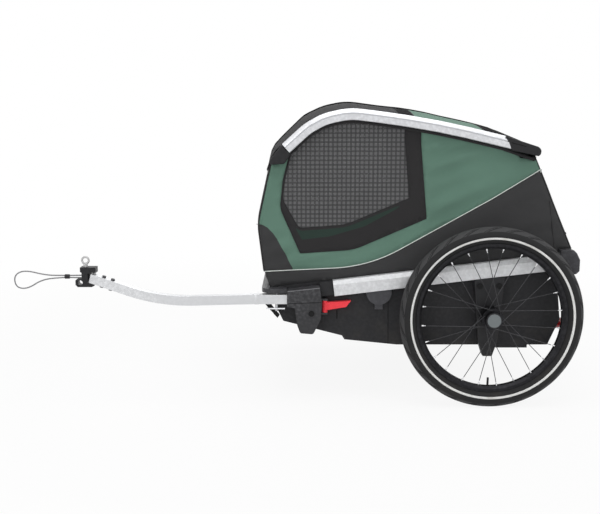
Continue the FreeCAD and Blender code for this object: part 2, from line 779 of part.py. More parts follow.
def receiver(side, sign):
    """The bracket at the front end of a rail; the left one has the arm's socket and lugs for a lever."""
    outline = [("-receiver_front", "receiver_front_top_z"), ("-receiver_back_top_ahead", "receiver_back_top_z")]
    for corner in ("back_low", "heel", "toe", "tip", "chin", "throat"):
        outline.append(("-receiver_%s_ahead" % corner, "receiver_%s_z" % corner))
    outline.append(("-receiver_front", "receiver_low_z"))
    rounds = [(outline[4], "receiver_round"), (outline[5], "receiver_round")]
    block = prism("bracket_" + side, [outline], "receiver_width", outward=sign, rounds=rounds)
    place(block, "0", out(sign, RAIL_INNER), "0")
    if sign > 0:
        node("front_bracket_right", block)
        return
    lugs = []
    low = "lever_low_z - lever_lug - lever_lug_gap - lever_eye"
    for name, z in (("low", low), ("high", "lever_low_z + lever_tall + lever_lug_gap")):
        lugs.append(box("lever_lug_" + name, "lever_eye * 4", "2 * lever_eye", "lever_lug",
                        "-lever_ahead - lever_eye * 3", "-lever_plane - lever_eye", z))
    deep = "receiver_front - arm_root_ahead + arm_wall"
    socket = box("arm_socket", deep, "arm_width + 2 * arm_fit", "arm_height + 2 * arm_fit", "-receiver_front",
                 "-arm_plane - arm_width / 2 - arm_fit", "arm_root_z - arm_height / 2 - arm_fit")
    bore = rod("lever_pin_bore", "lever_pin_radius + running_gap", "lever_tall * 3", "-lever_ahead",
               "-lever_plane", "lever_low_z - lever_tall", V(0, 0, 1), 0)
    node("arm_receiver", cut("arm_receiver", fuse("arm_receiver", block, *lugs), socket, bore))
    rod("lever_pin", "lever_pin_radius", "lever_tall + lever_eye + 2 * lever_lug + 2 * lever_lug_gap",
        "-lever_ahead", "-lever_plane", low, V(0, 0, 1), 0)


def ears(name, x, z, top, half):
    """Four upright ears with pin holes, a pair about each leg of a folding hoop."""
    made = []
    for sign in (-1, 1):
        for end, offset in (("in", "-(%s + ear_gap + ear_thick)" % half), ("out", "%s + ear_gap" % half)):
            outline = [("%s - ear_half" % x, "%s - ear_gap * 2" % top),
                       ("%s + ear_half" % x, "%s - ear_gap * 2" % top),
                       ("%s + ear_half * 0.6" % x, "%s + ear_half * 0.9" % z),
                       ("%s - ear_half * 0.6" % x, "%s + ear_half * 0.9" % z)]
            ear = prism("%s_ear_%s%d" % (name, end, sign + 1), [outline], "ear_thick",
                        circles=[(x, z, "pivot_pin_radius + running_gap")])
            y = "%d * leg_place + (%s)" % (sign, offset)
            place(ear, "0", y, "0")
            made.append(ear)
    return made


def bumpers():
    """The beams across the front and the rear, with the ears and pins that the folding hoops turn on."""
    reach = "half_width + 2 * seat_gap"
    outline = [("-bumper_front", "-bumper_half_length"), ("-bumper_front", "bumper_half_length"),
               ("-receiver_front - seat_gap", "bumper_half_length"), ("-receiver_front - seat_gap", reach),
               ("-bumper_back", reach), ("-bumper_back", "-(%s)" % reach),
               ("-receiver_front - seat_gap", "-(%s)" % reach),
               ("-receiver_front - seat_gap", "-bumper_half_length")]
    front = prism("front_bar", [outline], "bumper_top_z - bumper_low_z", plane="XY_Plane",
                  rounds=[(outline[0], "bumper_corner"), (outline[1], "bumper_corner")])
    place(front, "0", "0", "bumper_low_z")
    half = "front_leg_radius"
    front_ears = ears("front", "-front_pivot_ahead", "front_pivot_z", "bumper_top_z", half)
    node("front_bumper", fuse("front_bumper", front, *front_ears))

    bevel = "rear_bar_bevel"
    section = [("rear_bar_front", "rear_bar_low_z"), ("rear_bar_back - rear_bar_bevel / 2", "rear_bar_low_z"),
               ("rear_bar_back", "rear_bar_low_z + rear_bar_bevel / 2"), ("rear_bar_back", "rear_bar_mid_z"),
               ("rear_bar_back - rear_bar_bevel / 2", "rear_bar_mid_z + " + bevel),
               ("rear_bar_back - rear_bar_bevel", "rear_bar_top_z"), ("rear_bar_front", "rear_bar_top_z")]
    rear = prism("rear_bar", [section], "2 * rear_bar_half_length", middle=True)
    place(rear)
    rear_ears = ears("rear", "rear_pivot_behind", "rear_pivot_z", "rear_bar_top_z", "leg_radius")
    node("rear_bumper", fuse("rear_bumper", rear, *rear_ears))

    pins = [doc.getObject("lever_pin")]
    for name, x, z, half in (("front", "-front_pivot_ahead", "front_pivot_z", "front_leg_radius"),
                             ("rear", "rear_pivot_behind", "rear_pivot_z", "leg_radius")):
        for sign in (-1, 1):
            reach = "(%s + ear_gap + ear_thick)" % half
            pins.append(rod("%s_pivot_pin%d" % (name, sign + 1), "pivot_pin_radius", "2 * " + reach, x,
                            "%d * leg_place - %s" % (sign, reach), z))
    node("pivot_pins", group("pivot_pins", *pins))

    lamps = []
    for sign in (-1, 1):
        name = "reflector%d" % (sign + 1)
        lamp = rod(name, "reflector_radius", "tub_bulge_behind - tub_heel_behind + reflector_thick",
                   "tub_heel_behind", "%d * reflector_place" % sign, "tub_bulge_z - reflector_radius",
                   V(0, 1, 0), 90)
        seat = prism(name + "_seat", [[("0", "tub_bottom_z"), ("tub_heel_behind + seat_gap", "tub_bottom_z"),
                                       ("tub_bulge_behind + seat_gap", "tub_bulge_z"), ("0", "tub_bulge_z")]],
                     "2 * half_width", middle=True)
        place(seat)
        lamps.append(cut(name + "_lamp", lamp, seat))
    node("rear_reflectors", group("rear_reflectors", *lamps))


def covers():
    """Half-round drain covers with a pull tab, below the rails."""
    made = []
    for side, sign in SIDES:
        disc = rod("cover_disc_" + side, "cover_radius", "cover_thick", "-cover_ahead",
                   RAIL_INNER if sign > 0 else "-(%s) - cover_thick" % RAIL_INNER, "cover_z")
        y = RAIL_INNER if sign > 0 else "-(%s) - cover_tab_thick" % RAIL_INNER
        tab = box("cover_tab_" + side, "2 * cover_tab_half", "cover_tab_thick", "cover_z - cover_tab_low_z",
                  "-cover_ahead - cover_tab_half", y, "cover_tab_low_z")
        trim = box("cover_trim_" + side, "cover_radius * 3", "cover_thick * 3", "cover_radius * 2",
                   "-cover_ahead - cover_radius * 1.5", "%d * (%s) - cover_thick * 1.5" % (sign, RAIL_INNER),
                   rail_line(RAIL_UNDER, "-cover_ahead - cover_radius * 1.5") + " - seat_gap", V(0, 1, 0),
                   "-rail_slope")
        made.append(cut("cover_" + side, fuse("cover_" + side, disc, tab), trim))
    node("drain_covers", group("drain_covers", *made))


def lever():
    """The red catch beside the receiver: it swings out about an upright pin."""
    far = "-lever_ahead + lever_length"
    top = "lever_low_z + lever_tall"
    outline = [("-lever_ahead", top + " - lever_tall / 5"), (far, top),
               ("%s - lever_tall / 2" % far, "lever_low_z + lever_tall / 3"),
               ("-lever_ahead + lever_eye", "lever_low_z"), ("-lever_ahead", "lever_low_z")]
    blade = prism("lever_blade", [outline], "lever_thick", middle=True)
    place(blade, "0", "-lever_plane", "0")
    eye = rod("lever_eye", "lever_eye", "lever_tall + lever_eye", "-lever_ahead", "-lever_plane",
              "lever_low_z - lever_eye", V(0, 0, 1), 0)
    bore = rod("lever_bore", "lever_pin_radius + running_gap", "lever_tall * 2", "-lever_ahead", "-lever_plane",
               "lever_low_z - lever_tall / 2", V(0, 0, 1), 0)
    node("release_lever", cut("release_lever", fuse("release_lever", blade, eye), bore))


def bent_wire(points, radius):
    """A line through points with rounded corners; radius is one number, or a list with one for each corner."""
    edges = []
    here = points[0]
    for i in range(1, len(points) - 1):
        back = (points[i - 1] - points[i]).normalize()
        ahead = (points[i + 1] - points[i]).normalize()
        turn = math.pi - back.getAngle(ahead)
        bend = radius[i - 1] if isinstance(radius, list) else radius
        reach = bend * math.tan(turn / 2)
        start = points[i] + back * reach
        end = points[i] + ahead * reach
        inward = (back + ahead).normalize()
        middle = points[i] + inward * (bend / math.cos(turn / 2) - bend)
        edges.append(Part.LineSegment(here, start).toShape())
        edges.append(Part.Arc(start, middle, end).toShape())
        here = end
    edges.append(Part.LineSegment(here, points[-1]).toShape())
    return Part.Wire(edges)


def round_bar(wire, radius):
    """A round bar along a wire."""
    start = wire.Edges[0].Vertexes[0].Point
    way = wire.Edges[0].tangentAt(wire.Edges[0].FirstParameter)
    ring = Part.Wire([Part.Circle(start, way, radius).toShape()])
    return wire.makePipeShell([ring], True, False)


def bar(radius, start, end):
    """A straight round bar between two points."""
    return Part.makeCylinder(radius, (end - start).Length, start, end - start)


def across(radius, x, z, half):
    """A bar along Y, from one side to the other."""
    return bar(radius, V(x, -half, z), V(x, half, z))


REAR_FOOT = V(size("rear_pivot_behind"), 0, size("rear_pivot_z"))
REAR_HEAD = V(size("roof_pivot_behind"), 0, size("roof_pivot_z"))
LEG_WAY = (REAR_HEAD - REAR_FOOT).normalize()
LEG_OUT = V(LEG_WAY.z, 0, -LEG_WAY.x)


def on_leg(along, outward):
    """A place in the plane of the rear hoop: up its leg from the pivot, and out to the rear."""
    return REAR_FOOT + LEG_WAY * along + LEG_OUT * outward


def hoops():
    """The two hoops that fold: the rear one carries the roof's hinge, the front one the front cloth."""
    place_y, radius = size("leg_place"), size("leg_radius")
    head = (REAR_HEAD - REAR_FOOT).Length
    low_radius = radius * 0.8
    pieces = [across(size("eye_radius"), REAR_HEAD.x, REAR_HEAD.z, place_y + size("eye_radius"))]
    low = on_leg(size("low_bar_rise"), 0)
    pieces.append(across(low_radius, low.x, low.z, place_y))
    stub = size("half_width") + size("roof_rail_width") - size("seat_gap")
    pieces.append(across(size("pivot_pin_radius") + size("seat_gap") * 3, REAR_HEAD.x, REAR_HEAD.z, stub))
    bores = []
    for sign in (-1, 1):
        side = V(0, sign * place_y, 0)
        pieces.append(bar(radius, REAR_FOOT + side, REAR_HEAD + side))
        eye_half = V(0, radius + size("ear_gap") / 2, 0)
        pieces.append(bar(size("eye_radius"), REAR_FOOT + side - eye_half, REAR_FOOT + side + eye_half))
        bores.append(bar(size("pivot_pin_radius") + size("running_gap"), REAR_FOOT + side - eye_half * 2,
                         REAR_FOOT + side + eye_half * 2))
    hoop = pieces[0].multiFuse(pieces[1:]).cut(bores[0]).cut(bores[1]).removeSplitter()
    node("rear_hoop", feature("rear_hoop", hoop))

    leg = size("front_leg_radius")
    foot = V(-size("front_pivot_ahead"), 0, size("front_pivot_z"))
    bow = V(-size("front_bow_ahead"), 0, size("front_bow_z"))
    top = V(-size("front_top_ahead"), 0, size("front_top_z"))
    side = V(0, place_y, 0)
    path = [foot - side, bow - side, top - side, top + side, bow + side, foot + side]
    bend = place_y / 2
    loop = round_bar(bent_wire(path, [bend, leg * 4, leg * 4, bend]), leg)
    bores = []
    for sign in (-1, 1):
        eye_half = V(0, leg + size("ear_gap") / 2, 0)
        eye = bar(size("eye_radius"), foot + side * sign - eye_half, foot + side * sign + eye_half)
        loop = loop.fuse(eye)
        bores.append(bar(size("pivot_pin_radius") + size("running_gap"), foot + side * sign - eye_half * 2,
                         foot + side * sign + eye_half * 2))
    loop = loop.cut(bores[0]).cut(bores[1])
    node("front_hoop", feature("front_hoop", loop))

    front = [("-front_pivot_ahead - eye_radius - cloth - panel_gap", "front_pivot_z"),
             ("-wall_front_mid_ahead", "wall_front_mid_z"), ("-wall_front_out_ahead", "wall_front_out_z"),
             ("-front_top_ahead - front_leg_radius - cloth - panel_gap", "front_top_z")]
    back = [("%s + cloth" % x, z) for x, z in reversed(front)]
    bend = "front_bow_z / 3"
    rounds = [(front[2], bend), (back[1], bend)]
    cloth = prism("front_panel", [front + back], "2 * panel_half_width", middle=True, rounds=rounds)
    place(cloth)
    node("front_panel", cloth)

    rod_out = low_radius + size("panel_gap") + size("door_rod")
    hem = on_leg(size("low_bar_rise"), rod_out)
    hem_half = place_y - radius - size("panel_gap")
    hem_bar = across(size("door_rod"), hem.x, hem.z, hem_half)
    start, end = size("low_bar_rise"), head - size("door_top_gap")
    inner, outer = size("door_offset"), size("door_offset") + size("cloth")
    corners = [on_leg(start, inner), on_leg(start, outer), on_leg(end, outer), on_leg(end, inner)]
    half = V(0, size("half_width") - size("panel_gap"), 0)
    face = Part.Face(Part.makePolygon([c - half for c in corners + corners[:1]]))
    door = face.extrude(half * 2).fuse(hem_bar).removeSplitter()
    node("rear_door", feature("rear_door", door))


def roof_path(offset, start=0.0, back=None):
    """The side view of a roof line, offset up from the rails' middle: its front end, corner and rear end."""
    rise, fall = math.radians(size("roof_front_angle")), math.radians(size("roof_back_angle"))
    way = (math.cos(rise), math.sin(rise))
    down = (math.cos(fall), -math.sin(fall))
    up_front = (-way[1], way[0])
    up_back = (-down[1], down[0])
    a = (-size("roof_front_ahead") + offset * up_front[0] + start * way[0],
         size("roof_front_z") + offset * up_front[1] + start * way[1])
    b = (size("roof_back_behind") + offset * up_back[0], size("roof_back_z") + offset * up_back[1])
    cross = way[0] * down[1] - way[1] * down[0]
    run = ((b[0] - a[0]) * down[1] - (b[1] - a[1]) * down[0]) / cross
    corner = (a[0] + run * way[0], a[1] + run * way[1])
    if back is not None:
        b = (back, corner[1] + (back - corner[0]) * down[1] / down[0])
    return [a, corner, b]


def roof():
    """The roof frame: bent rails with caps, cross bows and the roof cloth."""
    half, bend = size("roof_rail_height") / 2, size("roof_bend")
    upper, lower = roof_path(half), roof_path(-half)
    y = RAIL_INNER
    caps = {"front": [], "rear": []}
    for side, sign in SIDES:
        rail = prism("roof_rail_blank_" + side, [upper + lower[::-1]], "roof_rail_width", outward=sign,
                     rounds=[(upper[1], bend + half), (lower[1], bend - half)])
        edges = [i for i, e in enumerate(rail.Shape.Edges, start=1)
                 if all(abs(abs(v.Point.y) - size("roof_rail_width")) < 1e-4 for v in e.Vertexes)
                 and e.Length > size("roof_rail_height") * 1.2]
        bent = rail.Tip
        bevel = rail.newObject("PartDesign::Chamfer", "roof_rail_bevel_" + side)
        bevel.Base = (bent, ["Edge%d" % i for i in edges])
        bind(bevel, "Size", "roof_rail_bevel")
        doc.recompute()
        place(rail, "0", out(sign, y), "0")
        wall = size("roof_rail_wall")
        end = size("roof_back_behind") + size("roof_rail_height")
        over, under = roof_path(half - wall, -wall, end), roof_path(wall - half, -wall, end)
        hollow = prism("roof_rail_hollow_" + side, [over + under[::-1]], "roof_rail_width - 2 * roof_rail_wall",
                       outward=sign, rounds=[(over[1], bend + half - wall), (under[1], bend - half + wall)])
        place(hollow, "0", out(sign, y + " + roof_rail_wall"), "0")
        node("roof_rail_" + side, cut("roof_rail_" + side, rail, hollow))

        gap = size("cap_overlap_gap")
        top, low = roof_path(half, -gap)[0], roof_path(-half, -gap)[0]
        nose = [top, low, ("-wall_notch_ahead", "wall_front_top_z + cloth"),
                ("-wall_front_top_ahead", "wall_front_top_z"),
                ("-wall_front_top_ahead - cloth", "wall_front_top_z + 4 * cloth")]
        cap = prism("front_cap_" + side, [nose], "roof_rail_width", outward=sign)
        place(cap, "0", out(sign, y), "0")
        caps["front"].append(cap)
        top, low = roof_path(half, back=None)[2], roof_path(-half)[2]
        hinge = ("roof_pivot_behind", "roof_pivot_z", "pivot_pin_radius + seat_gap * 3 + running_gap")
        tail = [(top[0] + gap, top[1]), ("roof_pivot_behind + 2.6 * eye_radius", "roof_pivot_z + eye_radius"),
                ("roof_pivot_behind + 3.3 * eye_radius", "roof_pivot_z"),
                ("roof_pivot_behind + 2.6 * eye_radius", "roof_pivot_z - 1.5 * eye_radius"),
                (low[0] + gap, low[1])]
        cap = prism("rear_cap_" + side, [tail], "roof_rail_width", outward=sign, circles=[hinge])
        place(cap, "0", out(sign, y), "0")
        caps["rear"].append(cap)
    node("roof_front_caps", group("roof_front_caps", *caps["front"]))
    node("roof_rear_caps", group("roof_rear_caps", *caps["rear"]))

    high, low = size("roof_cloth_rise"), size("roof_cloth_rise") - size("cloth")
    over, under = roof_path(high), roof_path(low)
    end_x = size("roof_pivot_behind") + 2.3 * size("eye_radius")
    end_z = size("roof_pivot_z") + 1.3 * size("eye_radius")
    outline = over + [(end_x, end_z), (end_x, end_z - size("cloth"))] + under[::-1]
    cloth = prism("roof_cover", [outline], "2 * half_width", middle=True,
                  rounds=[(over[1], bend + high), (under[1], bend + low)])
    place(cloth)
    node("roof_cover", cloth)

    bow = size("roof_bow_radius")
    path = roof_path(low - size("seat_gap") - bow, back=-size("roof_mid_bow_ahead"))
    bows = []
    for name, x, z, half in (("front", "-roof_front_bow_ahead", "roof_front_bow_z", "half_width"),
                             ("mid", str(path[2][0]), str(path[2][1]), "(half_width - cloth - seat_gap)")):
        bows.append(rod("roof_bow_" + name, "roof_bow_radius", "2 * " + half, x, "-" + half, z))
    node("roof_bows", group("roof_bows", *bows))


def walls():
    """The side walls in one plane: skirt, upper panel, window frame and net, each cut to its neighbours."""
    gap, notch = size("seat_gap"), size("roof_bow_radius")
    drop = -size("wall_top_drop")
    foot = on_leg(0, size("wall_edge_offset"))
    low_z = size("rear_bar_top_z") + gap
    back_low = foot + LEG_WAY * ((low_z - foot.z) / LEG_WAY.z)
    back_top = foot + LEG_WAY * size("wall_edge_top")
    seam_back = foot + LEG_WAY * size("seam_back_along")
    front_low_z = number(rail_line(RAIL_TOP, "-wall_foot_ahead"))
    front_low = (-size("wall_foot_ahead"), front_low_z)
    mid = (-size("wall_front_mid_ahead"), size("wall_front_mid_z"))
    seam_share = (size("seam_front_z") - front_low_z) / (mid[1] - front_low_z)
    seam_front = (front_low[0] + (mid[0] - front_low[0]) * seam_share, size("seam_front_z"))
    bend = (-size("seam_bend_ahead"), size("seam_bend_z"))
    heel_x = size("tub_back")
    heel = (heel_x, number(rail_line(RAIL_TOP, "tub_back")))
    skirt = [front_low, seam_front, bend, (seam_back.x, seam_back.z), (back_low.x, back_low.z), (heel_x, low_z),
             heel]
    top = roof_path(drop, size("wall_start"))
    lift = [(p[0], p[1] + gap) for p in (seam_front, bend, (seam_back.x, seam_back.z))]
    panel = [lift[0], mid, (-size("wall_front_out_ahead"), size("wall_front_out_z")),
             (-size("wall_front_top_ahead"), size("wall_front_top_z")),
             (-size("wall_notch_ahead"), size("wall_notch_z")), top[0], top[1], top[2],
             (size("wall_back_behind"), size("wall_back_z")), (back_top.x, back_top.z), lift[2], lift[1]]

    def opening(kind, top_drop, start, lean):
        """A window outline: front, low front corner, low middle, low rear corner and rear top."""
        back = -size(kind + "_back_low_ahead") - size(lean)
        line = roof_path(-top_drop, start, back)
        return line + [(-size(kind + "_back_low_ahead"), size(kind + "_back_low_z")),
                       (-size(kind + "_mid_ahead"), size(kind + "_mid_z")),
                       (-size(kind + "_low_ahead"), size(kind + "_low_z")),
                       (-size(kind + "_front_ahead"), size(kind + "_front_z"))]

    def rounded(points, radii):
        """A closed outline with rounded corners, as a wire in the XZ plane."""
        spots = [V(x, 0, z) for x, z in points]
        start = (spots[-1] + spots[0]) * 0.5
        wire = bent_wire([start] + spots + [start], radii)
        return wire

    corner = size("window_corner")
    window = opening("window", size("window_top_drop"), size("window_start"), "window_back_lean")
    window_radii = [gap, size("roof_bend") - size("window_top_drop"), gap, corner, size("window_bend"), corner,
                    corner * 2]
    net = opening("net", size("net_top_drop"), size("net_start"), "net_back_lean")
    small = size("net_corner")
    net_radii = [small / 3, size("roof_bend") - size("net_top_drop"), small / 3, small, size("window_bend"), small,
                 small * 2]
    window_wire = rounded(window, window_radii)
    net_wire = rounded(net, net_radii)
    bar_half, cell = size("net_bar") / 2, size("net_cell")
    net_face = Part.Face(net_wire)
    inside = net_face.makeOffset2D(-size("net_border"))
    box_ = net_face.BoundBox
    cells = []
    for i in range(int(box_.XLength / cell) + 1):
        for k in range(int(box_.ZLength / cell) + 1):
            x, z = box_.XMin + i * cell, box_.ZMin + k * cell
            corners = [V(x + a, 0, z + b) for a, b in ((bar_half, bar_half), (cell - bar_half, bar_half),
                                                       (cell - bar_half, cell - bar_half), (bar_half, cell - bar_half))]
            if all(inside.isInside(c, gap, True) for c in corners):
                cells.append(Part.makePolygon(corners + corners[:1]))
    print("net gaps on each side:", len(cells))
    for side, sign in SIDES:
        inner = out(sign, "half_width - cloth")
        thick = V(0, sign * size("cloth"), 0)

        def sheet_of(outer, holes, depth):
            face = Part.Face(outer)
            for hole in holes:
                face = face.cut(Part.Face(hole))
            return face.extrude(depth)

        skirt_radii = [gap, gap, size("seam_bend"), gap, gap, gap, gap]
        cloth = sheet_of(rounded(skirt, skirt_radii), [], thick)
        node("side_skirt_" + side, feature("side_skirt_" + side, cloth, inner))
        panel_radii = [gap, gap, size("window_bend"), notch, gap, gap, size("roof_bend") + drop, gap, gap, gap, gap,
                       size("seam_bend") - gap]
        cloth = sheet_of(rounded(panel, panel_radii), [window_wire], thick)
        node("side_panel_" + side, feature("side_panel_" + side, cloth, inner))
        ring = Part.Face(window_wire).makeOffset2D(-gap).cut(net_face.makeOffset2D(gap))
        node("window_frame_" + side, feature("window_frame_" + side, ring.extrude(thick), inner))
        mesh = Part.Face([net_wire] + cells).extrude(V(0, sign * size("net_thick"), 0))
        net_y = out(sign, "half_width - cloth / 2 - net_thick / 2")
        node("window_net_" + side, feature("window_net_" + side, mesh, net_y))


def offset_line(points, distance):
    """A line of three points in the XZ plane, moved square to itself."""
    ways = []
    for a, b in zip(points, points[1:]):
        run = math.dist(a, b)
        ways.append(((b[0] - a[0]) / run, (b[1] - a[1]) / run))
    ups = [(-w[1], w[0]) for w in ways]
    scale = distance / (1 + ups[0][0] * ups[1][0] + ups[0][1] * ups[1][1])
    first = (points[0][0] + distance * ups[0][0], points[0][1] + distance * ups[0][1])
    corner = (points[1][0] + scale * (ups[0][0] + ups[1][0]), points[1][1] + scale * (ups[0][1] + ups[1][1]))
    last = (points[2][0] + distance * ups[1][0], points[2][1] + distance * ups[1][1])
    return [first, corner, last]


def arm_turn(target):
    """Puts a piece drawn along the arm's run at the arm's bend, turned in toward the bicycle."""
    place(target, "-arm_bend_ahead", "-arm_plane", "0", V(0, 0, 1), "-arm_yaw")


def arm_band(label, inset):
    """The long part of the arm in side view: it dips, then climbs to the hitch."""
    line = [(0, size("arm_root_z")), (-size("arm_dip_run"), size("arm_dip_z")),
            (-size("arm_tip_run"), size("arm_tip_z"))]
    half = size("arm_height") / 2 - inset
    first, second = offset_line(line, half), offset_line(line, -half)
    bend = size("arm_dip")
    made = prism(label, [first + second[::-1]], size("arm_width") - 2 * inset, middle=True,
                 rounds=[(first[1], bend + half), (second[1], bend - half)])
    arm_turn(made)
    return made


def tip_bolts(radius, over):
    """Round bars square through the climbing end of the arm, at each of its two bolts."""
    climb = math.atan2(size("arm_tip_z") - size("arm_dip_z"), size("arm_tip_run") - size("arm_dip_run"))
    made = []
    for k in range(2):
        back = size("hitch_bolt_first") + k * size("hitch_bolt_pitch")
        middle = V(-size("arm_tip_run") + back * math.cos(climb), 0, size("arm_tip_z") - back * math.sin(climb))
        up = V(math.sin(climb), 0, math.cos(climb)) * (size("arm_height") / 2 + over)
        made.append((bar(radius, middle - up, middle + up), middle, up))
    return made


def arm():
    """The towing arm with its pin and clip, the hitch at its tip and the safety cable."""
    root_length = "arm_bend_ahead - arm_root_ahead"
    low_z, near = "arm_root_z - arm_height / 2", "-arm_plane - arm_width / 2"
    root = box("arm_root", root_length, "arm_width", "arm_height", "-arm_bend_ahead", near, low_z)
    knuckle = rod("arm_knuckle", "arm_width / 2 + 2 * arm_fit", "arm_height + 4 * arm_fit", "-arm_bend_ahead",
                  "-arm_plane", low_z + " - 2 * arm_fit", V(0, 0, 1), 0)
    core = box("arm_core", root_length, "arm_width - 2 * arm_wall", "arm_height - 2 * arm_wall", "-arm_bend_ahead",
               near + " + arm_wall", low_z + " + arm_wall")
    pin_hole = rod("arm_pin_hole", "arm_pin_radius + running_gap", "arm_height * 2", "-arm_pin_ahead", "-arm_plane",
                   "arm_root_z - arm_height", V(0, 0, 1), 0)
    outer = fuse("arm", root, knuckle, arm_band("arm_run", 0))
    over = size("hitch_bolt_head_tall")
    drills = feature("arm_drills", Part.makeCompound(
        [b for b, _, _ in tip_bolts(size("hitch_bolt_radius") + size("running_gap"), over)]))
    arm_turn(drills)
    node("hitch_arm", cut("hitch_arm", outer, core, arm_band("arm_hollow", size("arm_wall")), pin_hole, drills))

    pin = rod("arm_pin_bar", "arm_pin_radius", "arm_pin_top_z - arm_pin_low_z", "-arm_pin_ahead", "-arm_plane",
              "arm_pin_low_z", V(0, 0, 1), 0)
    eye = rod("arm_pin_eye", "clip_wire + running_gap", "arm_pin_radius * 4", "-arm_pin_ahead - arm_pin_radius * 2",
              "-arm_plane", "clip_z", V(0, 1, 0), 90)
    node("arm_pin", cut("arm_pin", pin, eye))
    y, z, wide = -size("arm_plane"), size("clip_z"), size("clip_spread")
    fore, aft = -size("clip_ahead"), -size("clip_behind")
    path = [V(aft, y, z), V(fore, y, z), V(fore, y - wide, z), V(aft, y - wide, z)]
    bend = wide / 2.1
    node("hairpin_clip", feature("hairpin_clip", round_bar(bent_wire(path, bend), size("clip_wire"))))

    under = low_z + " - seat_gap"
    outline = [("-strap_front_ahead", under), ("-strap_back_ahead", under), ("-strap_end_ahead", "strap_end_z"),
               ("-strap_tip_ahead", "strap_tip_z")]
    strap = prism("safety_strap", [outline], "strap_thick", middle=True)
    place(strap, "0", "-arm_plane + strap_behind", "0")
    node("safety_strap", strap)

    front = "-hitch_front"
    toe = "hitch_foot_back"
    outline = [(front, "hitch_foot_top_z - cloth"), (front, "hitch_foot_low_z + 2 * cloth"),
               (front + " + 2 * cloth", "hitch_foot_low_z"), ("-%s - 2 * cloth" % toe, "hitch_foot_low_z"),
               ("-" + toe, "hitch_foot_low_z + cloth"), ("-%s - cloth" % toe, "hitch_foot_low_z + 2 * cloth"),
               ("-hitch_neck_back", "hitch_foot_low_z + 3 * cloth"), ("-hitch_neck_back", "hitch_plate_low_z"),
               ("-hitch_plate_back", "hitch_plate_low_z"), ("-hitch_plate_back", "hitch_plate_top_z"),
               ("-hitch_plate_front", "hitch_plate_top_z"), ("-hitch_plate_front", "hitch_plate_low_z + cloth"),
               ("-hitch_neck_front", "hitch_plate_low_z"), ("-hitch_neck_front", "hitch_foot_top_z"),
               (front + " + cloth", "hitch_foot_top_z")]
    block = prism("hitch_blank", [outline], "hitch_width", middle=True,
                  circles=[("-hitch_eye_ahead", "hitch_eye_z", "hitch_eye_radius")])
    hitch_y = "-arm_plane + arm_tip_run * sin(arm_yaw)"
    place(block, "0", hitch_y, "0")
    climb = "(arm_tip_z - arm_dip_z) / (arm_tip_run - arm_dip_run)"
    tall = "((arm_height / 2 - arm_wall) / cos(atan(%s)) - spigot_fit)" % climb
    ends = [("-arm_tip_run - spigot_root", "arm_tip_z + spigot_root * (%s)" % climb),
            ("-arm_tip_run + spigot_length", "arm_tip_z - spigot_length * (%s)" % climb)]
    tongue = [(x, "%s + %s" % (z, tall)) for x, z in ends] + [(x, "%s - %s" % (z, tall)) for x, z in ends[::-1]]
    spigot = prism("hitch_spigot", [tongue], "arm_width - 2 * arm_wall - 2 * spigot_fit", middle=True)
    arm_turn(spigot)
    bore = rod("lock_bore", "lock_pin_radius + running_gap", "lock_pin_depth * 2", "-lock_pin_ahead", hitch_y,
               "hitch_plate_top_z - lock_pin_depth - seat_gap", V(0, 0, 1), 0)
    node("hitch_block", cut("hitch_block", fuse("hitch_block", block, spigot), bore, drills))

    gap = size("seat_gap")
    bolts = []
    for shaft, middle, up in tip_bolts(size("hitch_bolt_radius"), over):
        half = size("arm_height") / 2 + gap
        for way in (1, -1):
            start = middle + up.normalize() * half * way
            head = bar(size("hitch_bolt_head"), start, start + up.normalize() * over * way)
            shaft = shaft.fuse(head)
        bolts.append(shaft.removeSplitter())
    made = feature("hitch_bolts", Part.makeCompound(bolts))
    arm_turn(made)
    node("hitch_bolts", made)

    plane = number(hitch_y)
    top = V(-size("lock_pin_ahead"), plane, size("hitch_plate_top_z"))
    wire = size("lock_ring_wire")
    ring_z = size("lock_pin_rise") + size("lock_ring_radius") + wire
    shank = bar(size("lock_pin_radius"), top - V(0, 0, size("lock_pin_depth")),
                top + V(0, 0, size("lock_pin_rise") + wire))
    ring = Part.makeTorus(size("lock_ring_radius"), wire, top + V(0, 0, ring_z), V(0, 1, 0))
    collar = bar(size("lock_pin_radius") * 1.6, top + V(0, 0, gap), top + V(0, 0, size("lock_pin_rise")))
    node("hitch_lock_pin", feature("hitch_lock_pin", shank.fuse(collar).fuse(ring).removeSplitter()))
    cable(plane)


